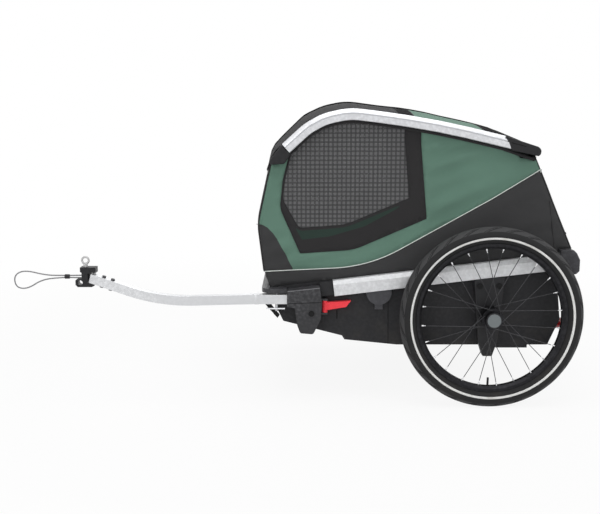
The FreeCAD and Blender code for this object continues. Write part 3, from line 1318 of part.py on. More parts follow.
def cable(plane):
    """The safety cable: a loop that leaves the hitch, turns at the end of a long eye and comes back to it."""
    start = -size("hitch_neck_front") - size("running_gap")
    high, low = size("cable_top_z"), size("cable_top_z") - size("cable_spread")
    clamp, half = -size("ferrule_ahead"), size("ferrule_length")
    lean, eye = size("cable_spread") / 10, size("cable_eye_length")
    far = clamp - eye
    drop, swell = size("cable_eye_drop"), size("cable_eye_rise")
    places = [(start, high + lean), (clamp + half, high), (clamp - half, high), (clamp - eye * 0.4, high + lean),
              (far + eye * 0.2, high + swell), (far, high), (far + eye * 0.03, high - drop * 0.9),
              (far + eye * 0.25, high - drop), (far + eye * 0.53, low - drop * 0.13),
              (clamp - half, low), (clamp + half, low), (start, low - lean)]
    points = [V(x, plane, z) for x, z in places]
    radii = []
    for i in range(1, len(points) - 1):
        back, ahead = points[i - 1] - points[i], points[i + 1] - points[i]
        turn = math.pi - back.getAngle(ahead)
        radii.append(0.45 * min(back.Length, ahead.Length) / math.tan(turn / 2))
    line = bent_wire(points, radii)
    rope = round_bar(line, size("cable_radius"))
    ideal = line.Length * math.pi * size("cable_radius") ** 2
    node("safety_cable", feature("safety_cable", rope))
    middle = (high + low) / 2
    radius = size("ferrule_radius")
    sleeve = bar(radius, V(clamp - half / 2, plane, middle), V(clamp + half / 2, plane, middle))
    for z in (high, low):
        hole = bar(size("cable_radius") + size("running_gap"), V(clamp - half, plane, z), V(clamp + half, plane, z))
        sleeve = sleeve.cut(hole)
    node("cable_ferrule", feature("cable_ferrule", sleeve))


def bolt_heads():
    """Heads of the bolts that hold the brackets and the wheel carriers."""
    made = []
    for side, sign in SIDES:
        places = [("-receiver_bolt_ahead", "receiver_bolt_z", "receiver_width"),
                  ("-carrier_waist_half", "rail_axle_z - rail_height", "carrier_width"),
                  ("carrier_waist_half", "rail_axle_z - rail_height", "carrier_width")]
        for i, (x, z, out_by) in enumerate(places):
            face = "%s + %s + running_gap" % (RAIL_INNER, out_by)
            y = face if sign > 0 else "-(%s) - bolt_head_tall" % face
            made.append(rod("bolt_%s%d" % (side, i), "bolt_head", "bolt_head_tall", x, y, z))
    node("frame_bolts", group("frame_bolts", *made))


plugs = []
for side, sign in SIDES:
    wheel(side, sign)
    plugs.append(side_rail(side, sign))
    carrier(side, sign)
    receiver(side, sign)
node("rail_plugs", group("rail_plugs", *plugs))
tub()
bumpers()
covers()
lever()
hoops()
roof()
walls()
arm()
bolt_heads()
doc.recompute()

os.makedirs("parts", exist_ok=True)
for made in doc.Objects:
    if "Invalid" in made.State or "Error" in made.State:
        raise RuntimeError("%s did not build: %s" % (made.Label, made.State))
for label, made in NODES.items():
    shape = made.Shape
    if shape.isNull() or not shape.isValid() or not shape.Solids:
        raise RuntimeError("%s has no valid solid" % label)
    shape.exportStep("parts/%s.step" % label)
print(len(NODES), "nodes")
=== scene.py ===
"""Looks of the dog trailer: cloth cabin, tyres, net windows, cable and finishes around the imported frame.

Lengths are in metres in the row frame: the towing arm points to -X, the near side is -Y and
the ground is Z = 0.
"""
import json
import math

import bpy
import numpy as np
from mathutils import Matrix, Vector
from mathutils.geometry import delaunay_2d_cdt


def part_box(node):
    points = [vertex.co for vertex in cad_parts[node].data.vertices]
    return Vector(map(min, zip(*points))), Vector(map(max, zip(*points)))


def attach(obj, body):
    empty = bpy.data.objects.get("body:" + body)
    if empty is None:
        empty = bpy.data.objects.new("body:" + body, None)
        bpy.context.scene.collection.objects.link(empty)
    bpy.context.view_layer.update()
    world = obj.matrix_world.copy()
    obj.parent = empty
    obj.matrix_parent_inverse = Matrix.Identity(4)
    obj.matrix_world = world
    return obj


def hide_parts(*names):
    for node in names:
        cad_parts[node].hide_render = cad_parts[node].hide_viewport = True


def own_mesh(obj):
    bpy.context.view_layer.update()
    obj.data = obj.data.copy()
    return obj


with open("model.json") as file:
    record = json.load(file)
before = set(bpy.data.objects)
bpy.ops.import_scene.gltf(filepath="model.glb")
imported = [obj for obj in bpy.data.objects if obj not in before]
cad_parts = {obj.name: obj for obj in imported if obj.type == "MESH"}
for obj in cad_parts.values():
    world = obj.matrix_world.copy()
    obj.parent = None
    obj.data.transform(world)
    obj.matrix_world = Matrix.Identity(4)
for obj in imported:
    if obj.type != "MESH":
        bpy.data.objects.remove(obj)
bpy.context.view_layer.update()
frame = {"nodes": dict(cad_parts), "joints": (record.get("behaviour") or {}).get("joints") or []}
NODES = frame["nodes"]
SIDES = (("left", -1), ("right", 1))
MM = 0.001


# Places read from the frame

def middle(name):
    """The middle of a node's box."""
    low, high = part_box(name)
    return (low + high) / 2


AXLE = {side: middle("tyre_" + side) for side, _ in SIDES}
WALL_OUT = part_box("side_panel_right")[1].y


def joint_place(name):
    """Where a hinge of the frame turns."""
    return Vector(next(j["pos_m"] for j in frame["joints"] if j["name"] == name))


LEG_FOOT = joint_place("rear_hoop_fold")
LEG_HEAD = joint_place("roof_level")
LEG_WAY = (LEG_HEAD - LEG_FOOT).normalized()
LEG_OUT = Vector((LEG_WAY.z, 0, -LEG_WAY.x))


# Shader helpers

def add(tree, kind, inputs=None, **settings):
    """Adds a shader node; inputs are numbers, colours or sockets of other nodes, by name or place."""
    made = tree.nodes.new("ShaderNode" + kind)
    for key, value in settings.items():
        setattr(made, key, value)
    for key, value in (inputs or {}).items():
        socket = made.inputs[key]
        if isinstance(value, bpy.types.NodeSocket):
            tree.links.new(value, socket)
        else:
            socket.default_value = value
    return made


def math_of(tree, operation, a, b=0.0, c=0.0):
    """One arithmetic node's result."""
    return add(tree, "Math", {0: a, 1: b, 2: c}, operation=operation).outputs[0]


def ramp(tree, factor, low, high):
    """A smooth step from 0 at low to 1 at high."""
    made = add(tree, "MapRange", {"Value": factor, "From Min": low, "From Max": high},
               interpolation_type="SMOOTHSTEP")
    return made.outputs["Result"]


def from_origin(tree, a, b):
    """How far a point of a plane is from its origin."""
    squares = [math_of(tree, "POWER", value, 2.0) for value in (a, b)]
    return math_of(tree, "SQRT", math_of(tree, "ADD", *squares))


def tint(tree, factor, a, b):
    """A mix of two colours."""
    made = tree.nodes.new("ShaderNodeMix")
    made.data_type = "RGBA"
    for place, value in ((0, factor), (6, a), (7, b)):
        if isinstance(value, bpy.types.NodeSocket):
            tree.links.new(value, made.inputs[place])
        else:
            made.inputs[place].default_value = value
    return made.outputs[2]


def new_group(name, inputs, outputs):
    """An empty shader group with number sockets; gives the tree, its input node and its output node."""
    tree = bpy.data.node_groups.new(name, "ShaderNodeTree")
    for label, value in inputs.items():
        socket = tree.interface.new_socket(label, in_out="INPUT", socket_type="NodeSocketFloat")
        socket.default_value = value
    for label in outputs:
        tree.interface.new_socket(label, in_out="OUTPUT", socket_type="NodeSocketFloat")
    return tree, tree.nodes.new("NodeGroupInput"), tree.nodes.new("NodeGroupOutput")


def place_of(tree):
    """The point on the piece, in the row frame, as a vector and as its three numbers."""
    spot = add(tree, "TexCoord").outputs["Object"]
    return spot, add(tree, "SeparateXYZ", {0: spot}).outputs


def noise(tree, spot, scale, detail=3.0, stretch=(1, 1, 1)):
    """A soft noise, drawn out along an axis where stretch is under one."""
    moved = add(tree, "Mapping", {"Vector": spot, "Scale": stretch})
    made = add(tree, "TexNoise", {"Vector": moved.outputs[0], "Scale": scale, "Detail": detail})
    return made.outputs["Fac"]


def weave_group():
    """Plain weave: warp and weft as crossed waves, with the slow unevenness of used cloth."""
    tree, given, result = new_group("plain_weave", {"Pitch": 0.0011, "Unevenness": 0.5}, ("Height", "Shade"))
    spot, (x, y, z) = place_of(tree)
    turn = math_of(tree, "DIVIDE", 2 * math.pi, given.outputs["Pitch"])
    warp = math_of(tree, "SINE", math_of(tree, "MULTIPLY", math_of(tree, "ADD", x, y), turn))
    weft = math_of(tree, "SINE", math_of(tree, "MULTIPLY", math_of(tree, "ADD", z, y), turn))
    over = math_of(tree, "MULTIPLY_ADD", math_of(tree, "MULTIPLY", warp, weft), 0.5, 0.5)
    slow = noise(tree, spot, 9.0, 4.0)
    fuzz = noise(tree, spot, 700.0, 2.0)
    faint = math_of(tree, "MULTIPLY", fuzz, 0.25)
    blotch = math_of(tree, "MULTIPLY_ADD", slow, given.outputs["Unevenness"], faint)
    rise = math_of(tree, "MULTIPLY_ADD", over, 0.7, math_of(tree, "MULTIPLY", fuzz, 0.3))
    tree.links.new(rise, result.inputs["Height"])
    tree.links.new(math_of(tree, "MULTIPLY_ADD", over, 0.25, blotch), result.inputs["Shade"])
    return tree


def grain_group():
    """Moulded plastic: fine pitted skin with faint sink marks and scuffs."""
    tree, given, result = new_group("moulded_grain", {"Scale": 900.0}, ("Height", "Scuff"))
    spot, _ = place_of(tree)
    fine = add(tree, "TexVoronoi", {"Vector": spot, "Scale": given.outputs["Scale"]}).outputs["Distance"]
    slow = noise(tree, spot, 14.0, 4.0)
    tree.links.new(math_of(tree, "MULTIPLY_ADD", slow, 0.3, fine), result.inputs["Height"])
    tree.links.new(noise(tree, spot, 60.0, 6.0, (1, 1, 0.3)), result.inputs["Scuff"])
    return tree


def drawn_group():
    """Drawn and anodised aluminium: streaks along the length and a cloudy tone."""
    tree, given, result = new_group("drawn_metal", {"Streak": 900.0}, ("Streaks", "Cloud"))
    spot, _ = place_of(tree)
    tree.links.new(noise(tree, spot, given.outputs["Streak"], 2.0, (0.02, 1, 1)), result.inputs["Streaks"])
    tree.links.new(noise(tree, spot, 18.0, 4.0), result.inputs["Cloud"])
    return tree


def edge_wear_and_highlight_group():
    """Worn edges, and where a finish pales them strongly a painted edge highlight: bright where the surface
    turns sharply outward, broken up by noise.
    """
    tree, given, result = new_group("edges_worn_and_highlit", {"Reach": 0.06}, ("Edge",))
    spot, _ = place_of(tree)
    sharp = add(tree, "NewGeometry").outputs["Pointiness"]
    high = math_of(tree, "ADD", given.outputs["Reach"], 0.5)
    edge = ramp(tree, sharp, 0.5, high)
    broken = ramp(tree, noise(tree, spot, 120.0, 5.0), 0.35, 0.75)
    tree.links.new(math_of(tree, "MULTIPLY", edge, broken), result.inputs["Edge"])
    return tree


def dust_group():
    """Road dust: thicker near the ground and in patches."""
    tree, given, result = new_group("road_dust", {"Top": 0.35}, ("Dust",))
    spot, (_, _, z) = place_of(tree)
    low = math_of(tree, "SUBTRACT", 1.0, ramp(tree, z, 0.0, given.outputs["Top"]))
    patch = ramp(tree, noise(tree, spot, 26.0, 6.0), 0.42, 0.8)
    tree.links.new(math_of(tree, "MULTIPLY", low, patch), result.inputs["Dust"])
    return tree


GROUPS = {"weave": weave_group(), "grain": grain_group(), "drawn": drawn_group(), "edge_wear_and_highlight": edge_wear_and_highlight_group(),
          "dust": dust_group()}


def use(tree, name, **values):
    """Places a shared group in a material, with its own values."""
    made = tree.nodes.new("ShaderNodeGroup")
    made.node_tree = GROUPS[name]
    for label, value in values.items():
        made.inputs[label].default_value = value
    return made.outputs


def new_material(name, **shader):
    """A material with its Principled shader, whose plain numbers are set on its own sockets."""
    made = bpy.data.materials.new(name)
    made.use_nodes = True
    tree = made.node_tree
    principled = tree.nodes["Principled BSDF"]
    for key, value in shader.items():
        principled.inputs[key.replace("_", " ")].default_value = value
    return made, tree, principled


def bumped(tree, principled, height, strength, distance):
    """Feeds a height to the shader's normal."""
    bump = add(tree, "Bump", {"Height": height, "Strength": strength, "Distance": distance})
    tree.links.new(bump.outputs["Normal"], principled.inputs["Normal"])


def graded(tree, principled, factor, low, high):
    """Lets the roughness run from low to high with a factor."""
    run = add(tree, "MapRange", {"Value": factor, "To Min": low, "To Max": high})
    tree.links.new(run.outputs["Result"], principled.inputs["Roughness"])


def linear(red, green, blue):
    """A colour given as 0 to 255 on screen, as the shader wants it."""
    def one(level):
        share = level / 255
        return share / 12.92 if share <= 0.04045 else ((share + 0.055) / 1.055) ** 2.4
    return (one(red), one(green), one(blue), 1.0)


def scaled(colour, share):
    """A colour made lighter or darker."""
    return tuple(level * share for level in colour[:3]) + (1.0,)


DUST = linear(128, 120, 108)


def cloth_finish(name, colour, pitch=0.0011, depth=0.35, sheen=0.08, shine=0.25):
    """Woven cloth: threads, uneven dye and a soft sheen."""
    made, tree, shader = new_material(name, Roughness=0.85, Sheen_Weight=sheen, Sheen_Roughness=0.5,
                                      Specular_IOR_Level=shine)
    weave = use(tree, "weave", Pitch=pitch)
    tone = tint(tree, weave["Shade"], scaled(colour, 0.8), scaled(colour, 1.25))
    tree.links.new(tone, shader.inputs["Base Color"])
    graded(tree, shader, weave["Shade"], 0.78, 0.95)
    bumped(tree, shader, weave["Height"], depth, pitch)
    return made


def plastic_finish(name, colour, rough=0.5, grain=900.0, depth=0.15, wear_and_highlight=1.6, dusty=0.0, uneven=0.05):
    """Moulded plastic: pitted skin, scuffed gloss, paler edges (worn, and on the receiver brackets a painted
    highlight) and, low down, some dust.
    """
    made, tree, shader = new_material(name, Specular_IOR_Level=0.25)
    skin = use(tree, "grain", Scale=grain)
    edge = use(tree, "edge_wear_and_highlight")["Edge"]
    tone = tint(tree, skin["Scuff"], scaled(colour, 1 - uneven), scaled(colour, 1 + uneven))
    tone = tint(tree, edge, tone, scaled(colour, wear_and_highlight))
    if dusty:
        dust = math_of(tree, "MULTIPLY", use(tree, "dust")["Dust"], dusty)
        tone = tint(tree, dust, tone, DUST)
    tree.links.new(tone, shader.inputs["Base Color"])
    graded(tree, shader, skin["Scuff"], rough - 0.05, rough + 0.07)
    bumped(tree, shader, skin["Height"], depth, 0.0006)
    return made


def metal_finish(name, colour, rough=0.35, metallic=1.0, streak=900.0, wear_and_highlight=1.2, depth=0.05):
    """Drawn metal: fine streaks, a cloudy tone and bright edges."""
    made, tree, shader = new_material(name, Metallic=metallic)
    drawn = use(tree, "drawn", Streak=streak)
    edge = use(tree, "edge_wear_and_highlight")["Edge"]
    tone = tint(tree, drawn["Cloud"], scaled(colour, 0.985), scaled(colour, 1.015))
    tone = tint(tree, edge, tone, scaled(colour, wear_and_highlight))
    tree.links.new(tone, shader.inputs["Base Color"])
    graded(tree, shader, drawn["Streaks"], rough - 0.03, rough + 0.04)
    bumped(tree, shader, drawn["Streaks"], depth, 0.0003)
    return made


# Finishes: the colour on screen from 0 to 255, then whatever differs from the plain finish

CLOTHS = {
    "green_cloth": ((99, 131, 116), {}),
    "dark_cloth": ((60, 60, 61), {}),
    "black_cloth": ((44, 43, 44), {}),
    # Painted shade: a dark green band inside the window's black border, standing for the frame's inner
    # shading tinted by the far green wall seen through the window
    "trim_cloth": ((42, 57, 51), {}),
    # The roof's dark and black cloth, made darker than the walls' as painted shade on the roof's lit top; the
    # black is partly the real black hem
    "roof_cloth": ((54, 54, 55), dict(sheen=0.03, shine=0.1)),
    "roof_black": ((29, 29, 30), dict(sheen=0.0, shine=0.02)),
    "liner_cloth": ((70, 70, 72), dict(pitch=0.002, depth=0.5)),
    "webbing": ((30, 30, 31), dict(pitch=0.0022, depth=0.8)),
    "net_thread": ((106, 106, 107), dict(pitch=0.0004, depth=0.2, sheen=0.1)),
    "net_check": ((72, 72, 73), dict(pitch=0.0004, depth=0.2, sheen=0.1)),
    "piping": ((230, 236, 231), dict(pitch=0.0008, sheen=0.1)),
}
PLASTICS = {
    "black_plastic": ((40, 40, 42), dict(dusty=0.12)),
    "tub_plastic": ((38, 38, 40), dict(rough=0.6, grain=600.0, dusty=0.15)),
    "cover_plastic": ((72, 72, 76), dict(rough=0.32, wear_and_highlight=1.8)),
    "bumper_plastic": ((58, 58, 61), dict(rough=0.36, wear_and_highlight=1.8)),
    # Near black: painted shade for the frame bolts' holes, the tub's slot, the rear caps' recessed slot and
    # the shadow line on the brackets; on the tub's moulded seam a dark joint
    "hole_black": ((17, 17, 18), dict(rough=0.7, wear_and_highlight=1.0)),
    # Pale plastic for the brackets' moulded lip, painted pale as the highlight along their top edge
    "lip_plastic": ((128, 128, 131), dict(rough=0.4, wear_and_highlight=1.2)),
    # The receiver brackets' edges are paled strongly, a painted highlight along them
    "bracket_plastic": ((54, 54, 56), dict(rough=0.45, wear_and_highlight=2.6)),
    "cap_plastic": ((34, 34, 36), dict(rough=0.42)),
    "grey_plastic": ((118, 124, 126), dict(rough=0.4, wear_and_highlight=1.2)),
    "red_plastic": ((246, 66, 76), dict(rough=0.35, wear_and_highlight=1.15)),
    "pale_plastic": ((206, 206, 206), dict(rough=0.35, wear_and_highlight=1.1)),
    "cable_coat": ((140, 140, 142), dict(rough=0.35, wear_and_highlight=1.1)),
}
METALS = {
    "rail_aluminium": ((206, 207, 210), dict(rough=0.4, metallic=0.8)),
    "side_aluminium": ((212, 213, 215), dict(rough=0.45, metallic=0.3)),
    "arm_aluminium": ((206, 207, 209), dict(rough=0.42, metallic=0.8)),
    "dark_aluminium": ((42, 42, 44), dict(rough=0.45, wear_and_highlight=1.5)),
    "steel": ((176, 177, 180), dict(rough=0.3)),
    "dark_steel": ((58, 58, 60), dict(rough=0.4, wear_and_highlight=2.0)),
    "chrome_wire": ((228, 229, 232), dict(rough=0.16)),
}
MATERIALS = {}
for make, table in ((cloth_finish, CLOTHS), (plastic_finish, PLASTICS), (metal_finish, METALS)):
    for name, (colour, values) in table.items():
        MATERIALS[name] = make(name, linear(*colour), **values)


def tyre_rubber(name, dark, light):
    """Tyre rubber: dull and uneven, with a fine grain and some dust."""
    made, tree, shader = new_material(name, Specular_IOR_Level=0.3)
    spot, _ = place_of(tree)
    scuff = noise(tree, spot, 40.0, 6.0)
    tone = tint(tree, scuff, linear(dark, dark, dark + 1), linear(light, light, light + 1))
    dust = math_of(tree, "MULTIPLY", use(tree, "dust", Top=0.5)["Dust"], 0.05)
    tree.links.new(tint(tree, dust, tone, DUST), shader.inputs["Base Color"])
    graded(tree, shader, scuff, 0.6, 0.85)
    bumped(tree, shader, noise(tree, spot, 900.0, 2.0), 0.2, 0.0005)
    return made


def reflective_ring():
    """The reflective band on the tyre's wall: pale, with a fine beaded surface."""
    made, tree, shader = new_material("reflective_ring", Coat_Weight=0.3, Coat_Roughness=0.3)
    spot, _ = place_of(tree)
    beads = add(tree, "TexVoronoi", {"Vector": spot, "Scale": 1600.0}).outputs["Distance"]
    soil = ramp(tree, noise(tree, spot, 30.0, 6.0), 0.45, 0.9)
    tone = tint(tree, soil, linear(232, 232, 230), linear(196, 194, 188))
    tree.links.new(tone, shader.inputs["Base Color"])
    graded(tree, shader, beads, 0.3, 0.55)
    bumped(tree, shader, beads, 0.3, 0.0004)
    return made


def spoke_wire():
    """Black wire spokes whose nipples at the rim are bright."""
    made, tree, shader = new_material("spoke_wire", Metallic=1.0)
    spot, (x, _, z) = place_of(tree)
    from_hub = from_origin(tree, math_of(tree, "SUBTRACT", x, AXLE["left"].x),
                           math_of(tree, "SUBTRACT", z, AXLE["left"].z))
    nipple_start = 180.0 * MM
    bright = math_of(tree, "GREATER_THAN", from_hub, nipple_start)
    cloud = noise(tree, spot, 60.0, 3.0)
    wire = tint(tree, cloud, linear(52, 52, 54), linear(84, 84, 86))
    tree.links.new(tint(tree, bright, wire, linear(232, 232, 234)), shader.inputs["Base Color"])
    graded(tree, shader, cloud, 0.25, 0.45)
    return made


def reflector_lens():
    """A red reflector: clear red plastic over a field of small prisms."""
    made, tree, shader = new_material("reflector_lens", Coat_Weight=0.6, Coat_Roughness=0.1,
                                      Specular_IOR_Level=0.6)
    spot, _ = place_of(tree)
    cells = add(tree, "TexVoronoi", {"Vector": spot, "Scale": 260.0}, feature="F1").outputs["Distance"]
    tone = tint(tree, ramp(tree, cells, 0.1, 0.6), linear(196, 24, 30), linear(120, 8, 14))
    tree.links.new(tone, shader.inputs["Base Color"])
    graded(tree, shader, cells, 0.12, 0.3)
    bumped(tree, shader, cells, 0.6, 0.001)
    return made


# tread_rubber is the tyre rubber painted lighter, painted light from above on the tread
MATERIALS.update(tyre_rubber=tyre_rubber("tyre_rubber", 25, 36),
                 tread_rubber=tyre_rubber("tread_rubber", 56, 72), reflective_ring=reflective_ring(),
                 spoke_wire=spoke_wire(), reflector_lens=reflector_lens())


# Finishes of the nodes that show as they are, and how far their edges are rounded

FINISHES = {
    "rail_aluminium": ("roof_rail_left", "roof_rail_right"),
    "side_aluminium": ("side_rail_left", "side_rail_right"),
    "arm_aluminium": ("hitch_arm",),
    "black_plastic": ("wheel_carrier_left", "wheel_carrier_right", "floor_beam", "rail_plugs"),
    "bumper_plastic": ("front_bumper", "rear_bumper"),
    # The frame bolts are painted near black, as painted shade of the holes they sit in
    "hole_black": ("frame_bolts",),
    "bracket_plastic": ("arm_receiver", "front_bracket_right"),
    "cover_plastic": ("drain_covers",),
    "tub_plastic": ("floor_tub",),
    "cap_plastic": ("roof_front_caps", "roof_rear_caps", "hitch_block", "cable_ferrule"),
    "grey_plastic": ("axle_button_left", "axle_button_right"),
    "red_plastic": ("release_lever",),
    "dark_aluminium": ("rim_left", "rim_right", "hub_shell_left", "hub_shell_right", "rear_hoop",
                       "front_hoop", "roof_bows"),
    "steel": ("bearings_left", "bearings_right", "pivot_pins", "arm_pin"),
    "dark_steel": ("wheel_axle_left", "wheel_axle_right", "hitch_bolts"),
    "pale_plastic": ("hitch_lock_pin",),
    "chrome_wire": ("hairpin_clip",),
    "tyre_rubber": ("inner_tube_left", "inner_tube_right"),
    "spoke_wire": ("spokes_left", "spokes_right"),
    "reflector_lens": ("rear_reflectors",),
}
ROUNDING = {
    1.5 * MM: ("side_rail_left", "side_rail_right", "roof_rail_left", "roof_rail_right", "hitch_arm"),
    3.0 * MM: ("arm_receiver", "front_bracket_right", "wheel_carrier_left", "wheel_carrier_right",
               "front_bumper", "rear_bumper", "floor_tub", "roof_front_caps", "roof_rear_caps",
               "drain_covers", "release_lever"),
    1.0 * MM: ("hitch_block", "axle_button_left", "axle_button_right", "rail_plugs", "floor_beam",
               "rear_reflectors", "frame_bolts", "hitch_bolts", "wheel_axle_left", "wheel_axle_right"),
}


def rounded(made, width, degrees):
    """Rounds the edges of a piece that turn by more than an angle."""
    bevel = made.modifiers.new("rounded", "BEVEL")
    bevel.width = width
    bevel.segments = 3
    bevel.limit_method = "ANGLE"
    bevel.angle_limit = math.radians(degrees)
    bevel.harden_normals = True


def finish_nodes():
    """Gives each node that shows its material, and rounds the edges that a hand would find rounded."""
    for finish, names in FINISHES.items():
        for name in names:
            data = NODES[name].data
            data.materials.clear()
            data.materials.append(MATERIALS[finish])
    for width, names in ROUNDING.items():
        for name in names:
            weld = NODES[name].modifiers.new("joined", "WELD")
            weld.merge_threshold = 0.01 * MM
            rounded(NODES[name], width, 32)


# Mesh helpers

def placed(name, data):
    """A new object in the scene."""
    made = bpy.data.objects.new(name, data)
    bpy.context.scene.collection.objects.link(made)
    return made


def piece(name, vertices, faces, finishes, body, replaced=(), shades=None, flat=False):
    """A mesh object that rides on a body; shades gives each face its finish's place in the list."""
    data = bpy.data.meshes.new(name)
    data.from_pydata([tuple(v) for v in vertices], [], [tuple(f) for f in faces])
    for finish in finishes:
        data.materials.append(MATERIALS[finish])
    if shades is not None:
        data.polygons.foreach_set("material_index", np.asarray(shades, np.int32))
    data.polygons.foreach_set("use_smooth", np.full(len(data.polygons), not flat))
    data.update()
    made = placed(name, data)
    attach(made, body)
    if replaced:
        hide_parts(*replaced)
    return made


def solid(made, thick, inward=-1.0):
    """Gives a sheet its thickness."""
    shell = made.modifiers.new("thickness", "SOLIDIFY")
    shell.thickness = thick
    shell.offset = inward


def tube(name, path, radius, finish, body, closed=False, order=2):
    """A round tube along points, as a mesh."""
    curve = bpy.data.curves.new(name, "CURVE")
    curve.dimensions = "3D"
    spline = curve.splines.new("POLY" if order == 2 else "NURBS")
    spline.points.add(len(path) - 1)
    for point, place in zip(spline.points, path):
        point.co = (*place, 1.0)
    if order > 2:
        spline.order_u = order
        spline.use_endpoint_u = not closed
    spline.use_cyclic_u = closed
    curve.bevel_depth = radius
    curve.bevel_resolution = 2
    curve.use_fill_caps = True
    holder = bpy.data.objects.new(name + "_line", curve)
    data = bpy.data.meshes.new_from_object(holder)
    bpy.data.objects.remove(holder)
    data.name = name
    data.materials.append(MATERIALS[finish])
    data.polygons.foreach_set("use_smooth", np.full(len(data.polygons), True))
    made = placed(name, data)
    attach(made, body)
    return made


def grid_faces(rows, columns):
    """Quads of a grid of points, row by row."""
    faces = []
    for r in range(rows - 1):
        for c in range(columns - 1):
            near, far = r * columns + c, (r + 1) * columns + c
            faces.append((near, near + 1, far + 1, far))
    return faces


# Safety cable

CABLE_ROUTE = [(-685.05, 344.6), (-716.0, 344.0), (-742.0, 344.0), (-789.8, 344.6), (-850.6, 360.0),
               (-881.0, 344.0), (-876.4, 308.9), (-843.0, 305.0), (-800.4, 332.9), (-742.0, 338.0),
               (-716.0, 338.0), (-685.05, 337.4)]
CABLE_DIAMETER = 3.8 * MM


def safety_cable():
    """The coated cable: out of the hitch, round a long open eye and back into it, through a clamp."""
    hitch = middle("cable_ferrule").y
    curve = bpy.data.curves.new("safety_loop", "CURVE")
    curve.dimensions = "3D"
    curve.resolution_u = 24
    curve.bevel_depth = CABLE_DIAMETER / 2
    curve.bevel_resolution = 4
    curve.use_fill_caps = True
    spline = curve.splines.new("NURBS")
    spline.points.add(len(CABLE_ROUTE) - 1)
    for point, (x, z) in zip(spline.points, CABLE_ROUTE):
        point.co = (x * MM, hitch, z * MM, 1.0)
    spline.order_u = 3
    spline.use_endpoint_u = True
    curve.materials.append(MATERIALS["cable_coat"])
    made = placed("safety_loop", curve)
    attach(made, "towing_arm")
    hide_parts("safety_cable")


# Tyres

TYRE_SECTION = 23.5 * MM
TYRE_INSIDE = 19.8 * MM
TYRE_STEPS = 720
TREAD_GROOVE = 1.9 * MM
SIPES = 26


def tyre(side):
    """A road tyre: lines round the crown and shoulders, slanted cuts in the tread, a pale band, and the uncut
    tread in a lighter copy of the rubber as painted light from above.
    """
    centre = AXLE[side]
    ring_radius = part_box("tyre_" + side)[1].z - centre.z - TYRE_SECTION
    bead = math.radians(153)
    across = np.linspace(-bead, bead, 85)
    turns = np.linspace(0, 2 * math.pi, TYRE_STEPS, endpoint=False)
    angle, t = np.meshgrid(turns, across, indexing="ij")
    away = np.degrees(np.abs(t))
    section = np.full(angle.shape, TYRE_SECTION)
    groove = 0.35 * np.exp(-((away - 60) / 2.2) ** 2)
    crown_line = np.exp(-((away - 9) / 1.6) ** 2) * 0.5
    slant = angle + np.sign(t) * (away - 38) / 260
    phase = (slant * SIPES / (2 * math.pi)) % 1
    cut = np.exp(-((phase - 0.5) / 0.05) ** 2) + 0.8 * np.exp(-((phase - 0.68) / 0.038) ** 2)
    on_shoulder = np.clip((away - 16) / 4, 0, 1) * np.clip((60 - away) / 4, 0, 1)
    section -= TREAD_GROOVE * np.clip(groove + crown_line + cut * on_shoulder, 0, 1)
    # The uncut faces of the tread, which take the lighter rubber of painted light
    tread = (section > TYRE_SECTION - 0.4 * TREAD_GROOVE) & (away > 4) & (away < 59)
    band = (away > 97) & (away < 112)
    section += np.where(band, 0.35 * MM, 0.0)
    section += 0.3 * MM * (np.exp(-((away - 84) / 1.2) ** 2) + np.exp(-((away - 128) / 1.5) ** 2))
    inside = np.full(angle.shape, TYRE_INSIDE)
    section = np.concatenate([section, inside[:, ::-1]], axis=1)
    t = np.concatenate([t, t[:, ::-1]], axis=1)
    angle = np.concatenate([angle, angle], axis=1)
    reach = ring_radius + section * np.cos(t)
    rows = np.stack([centre.x + reach * np.cos(angle), centre.y + section * np.sin(t),
                     centre.z + reach * np.sin(angle)], axis=-1)
    columns = rows.shape[1]
    faces, shades = [], []
    for r in range(TYRE_STEPS):
        ahead = (r + 1) % TYRE_STEPS
        for c in range(columns):
            right = (c + 1) % columns
            faces.append((r * columns + c, ahead * columns + c, ahead * columns + right, r * columns + right))
            mid = c + 0.5 if c < len(across) - 1 else 0
            degrees = abs(math.degrees(-bead + mid * 2 * bead / (len(across) - 1)))
            shades.append(1 if mid and 97.5 < degrees < 111.5 else 2 if mid and tread[r, c] else 0)
    piece("road_tyre_" + side, rows.reshape(-1, 3), faces, ("tyre_rubber", "reflective_ring", "tread_rubber"),
          "wheel_" + side, ("tyre_" + side,), shades)


# Cloth walls

def outer_loops(name, sign):
    """The closed outlines of a wall node's outer face, as lists of (x, z), the longest first."""
    data = NODES[name].data
    edges = {}
    for face in data.polygons:
        if face.normal.y * sign < 0.9:
            continue
        places = [data.vertices[v].co for v in face.vertices]
        corners = [(round(p.x, 6), round(p.z, 6)) for p in places]
        for a, b in zip(corners, corners[1:] + corners[:1]):
            if (b, a) in edges:
                del edges[(b, a)]
            else:
                edges[(a, b)] = True
    after = {a: b for a, b in edges}
    loops = []
    while after:
        first = next(iter(after))
        loop, here = [first], after.pop(first)
        while here != first:
            loop.append(here)
            here = after.pop(here)
        loops.append(np.array(loop))
    return sorted(loops, key=lambda p: -np.linalg.norm(np.roll(p, -1, 0) - p, axis=1).sum())


def finer(line, step, closed=True):
    """A line with points added so that none of its runs is longer than a step."""
    ends = np.roll(line, -1, 0) if closed else line[1:]
    starts = line if closed else line[:-1]
    rows = []
    for a, b in zip(starts, ends):
        count = max(1, math.ceil(np.linalg.norm(b - a) / step))
        rows.extend(a + (b - a) * k / count for k in range(count))
    if not closed:
        rows.append(line[-1])
    return np.array(rows)


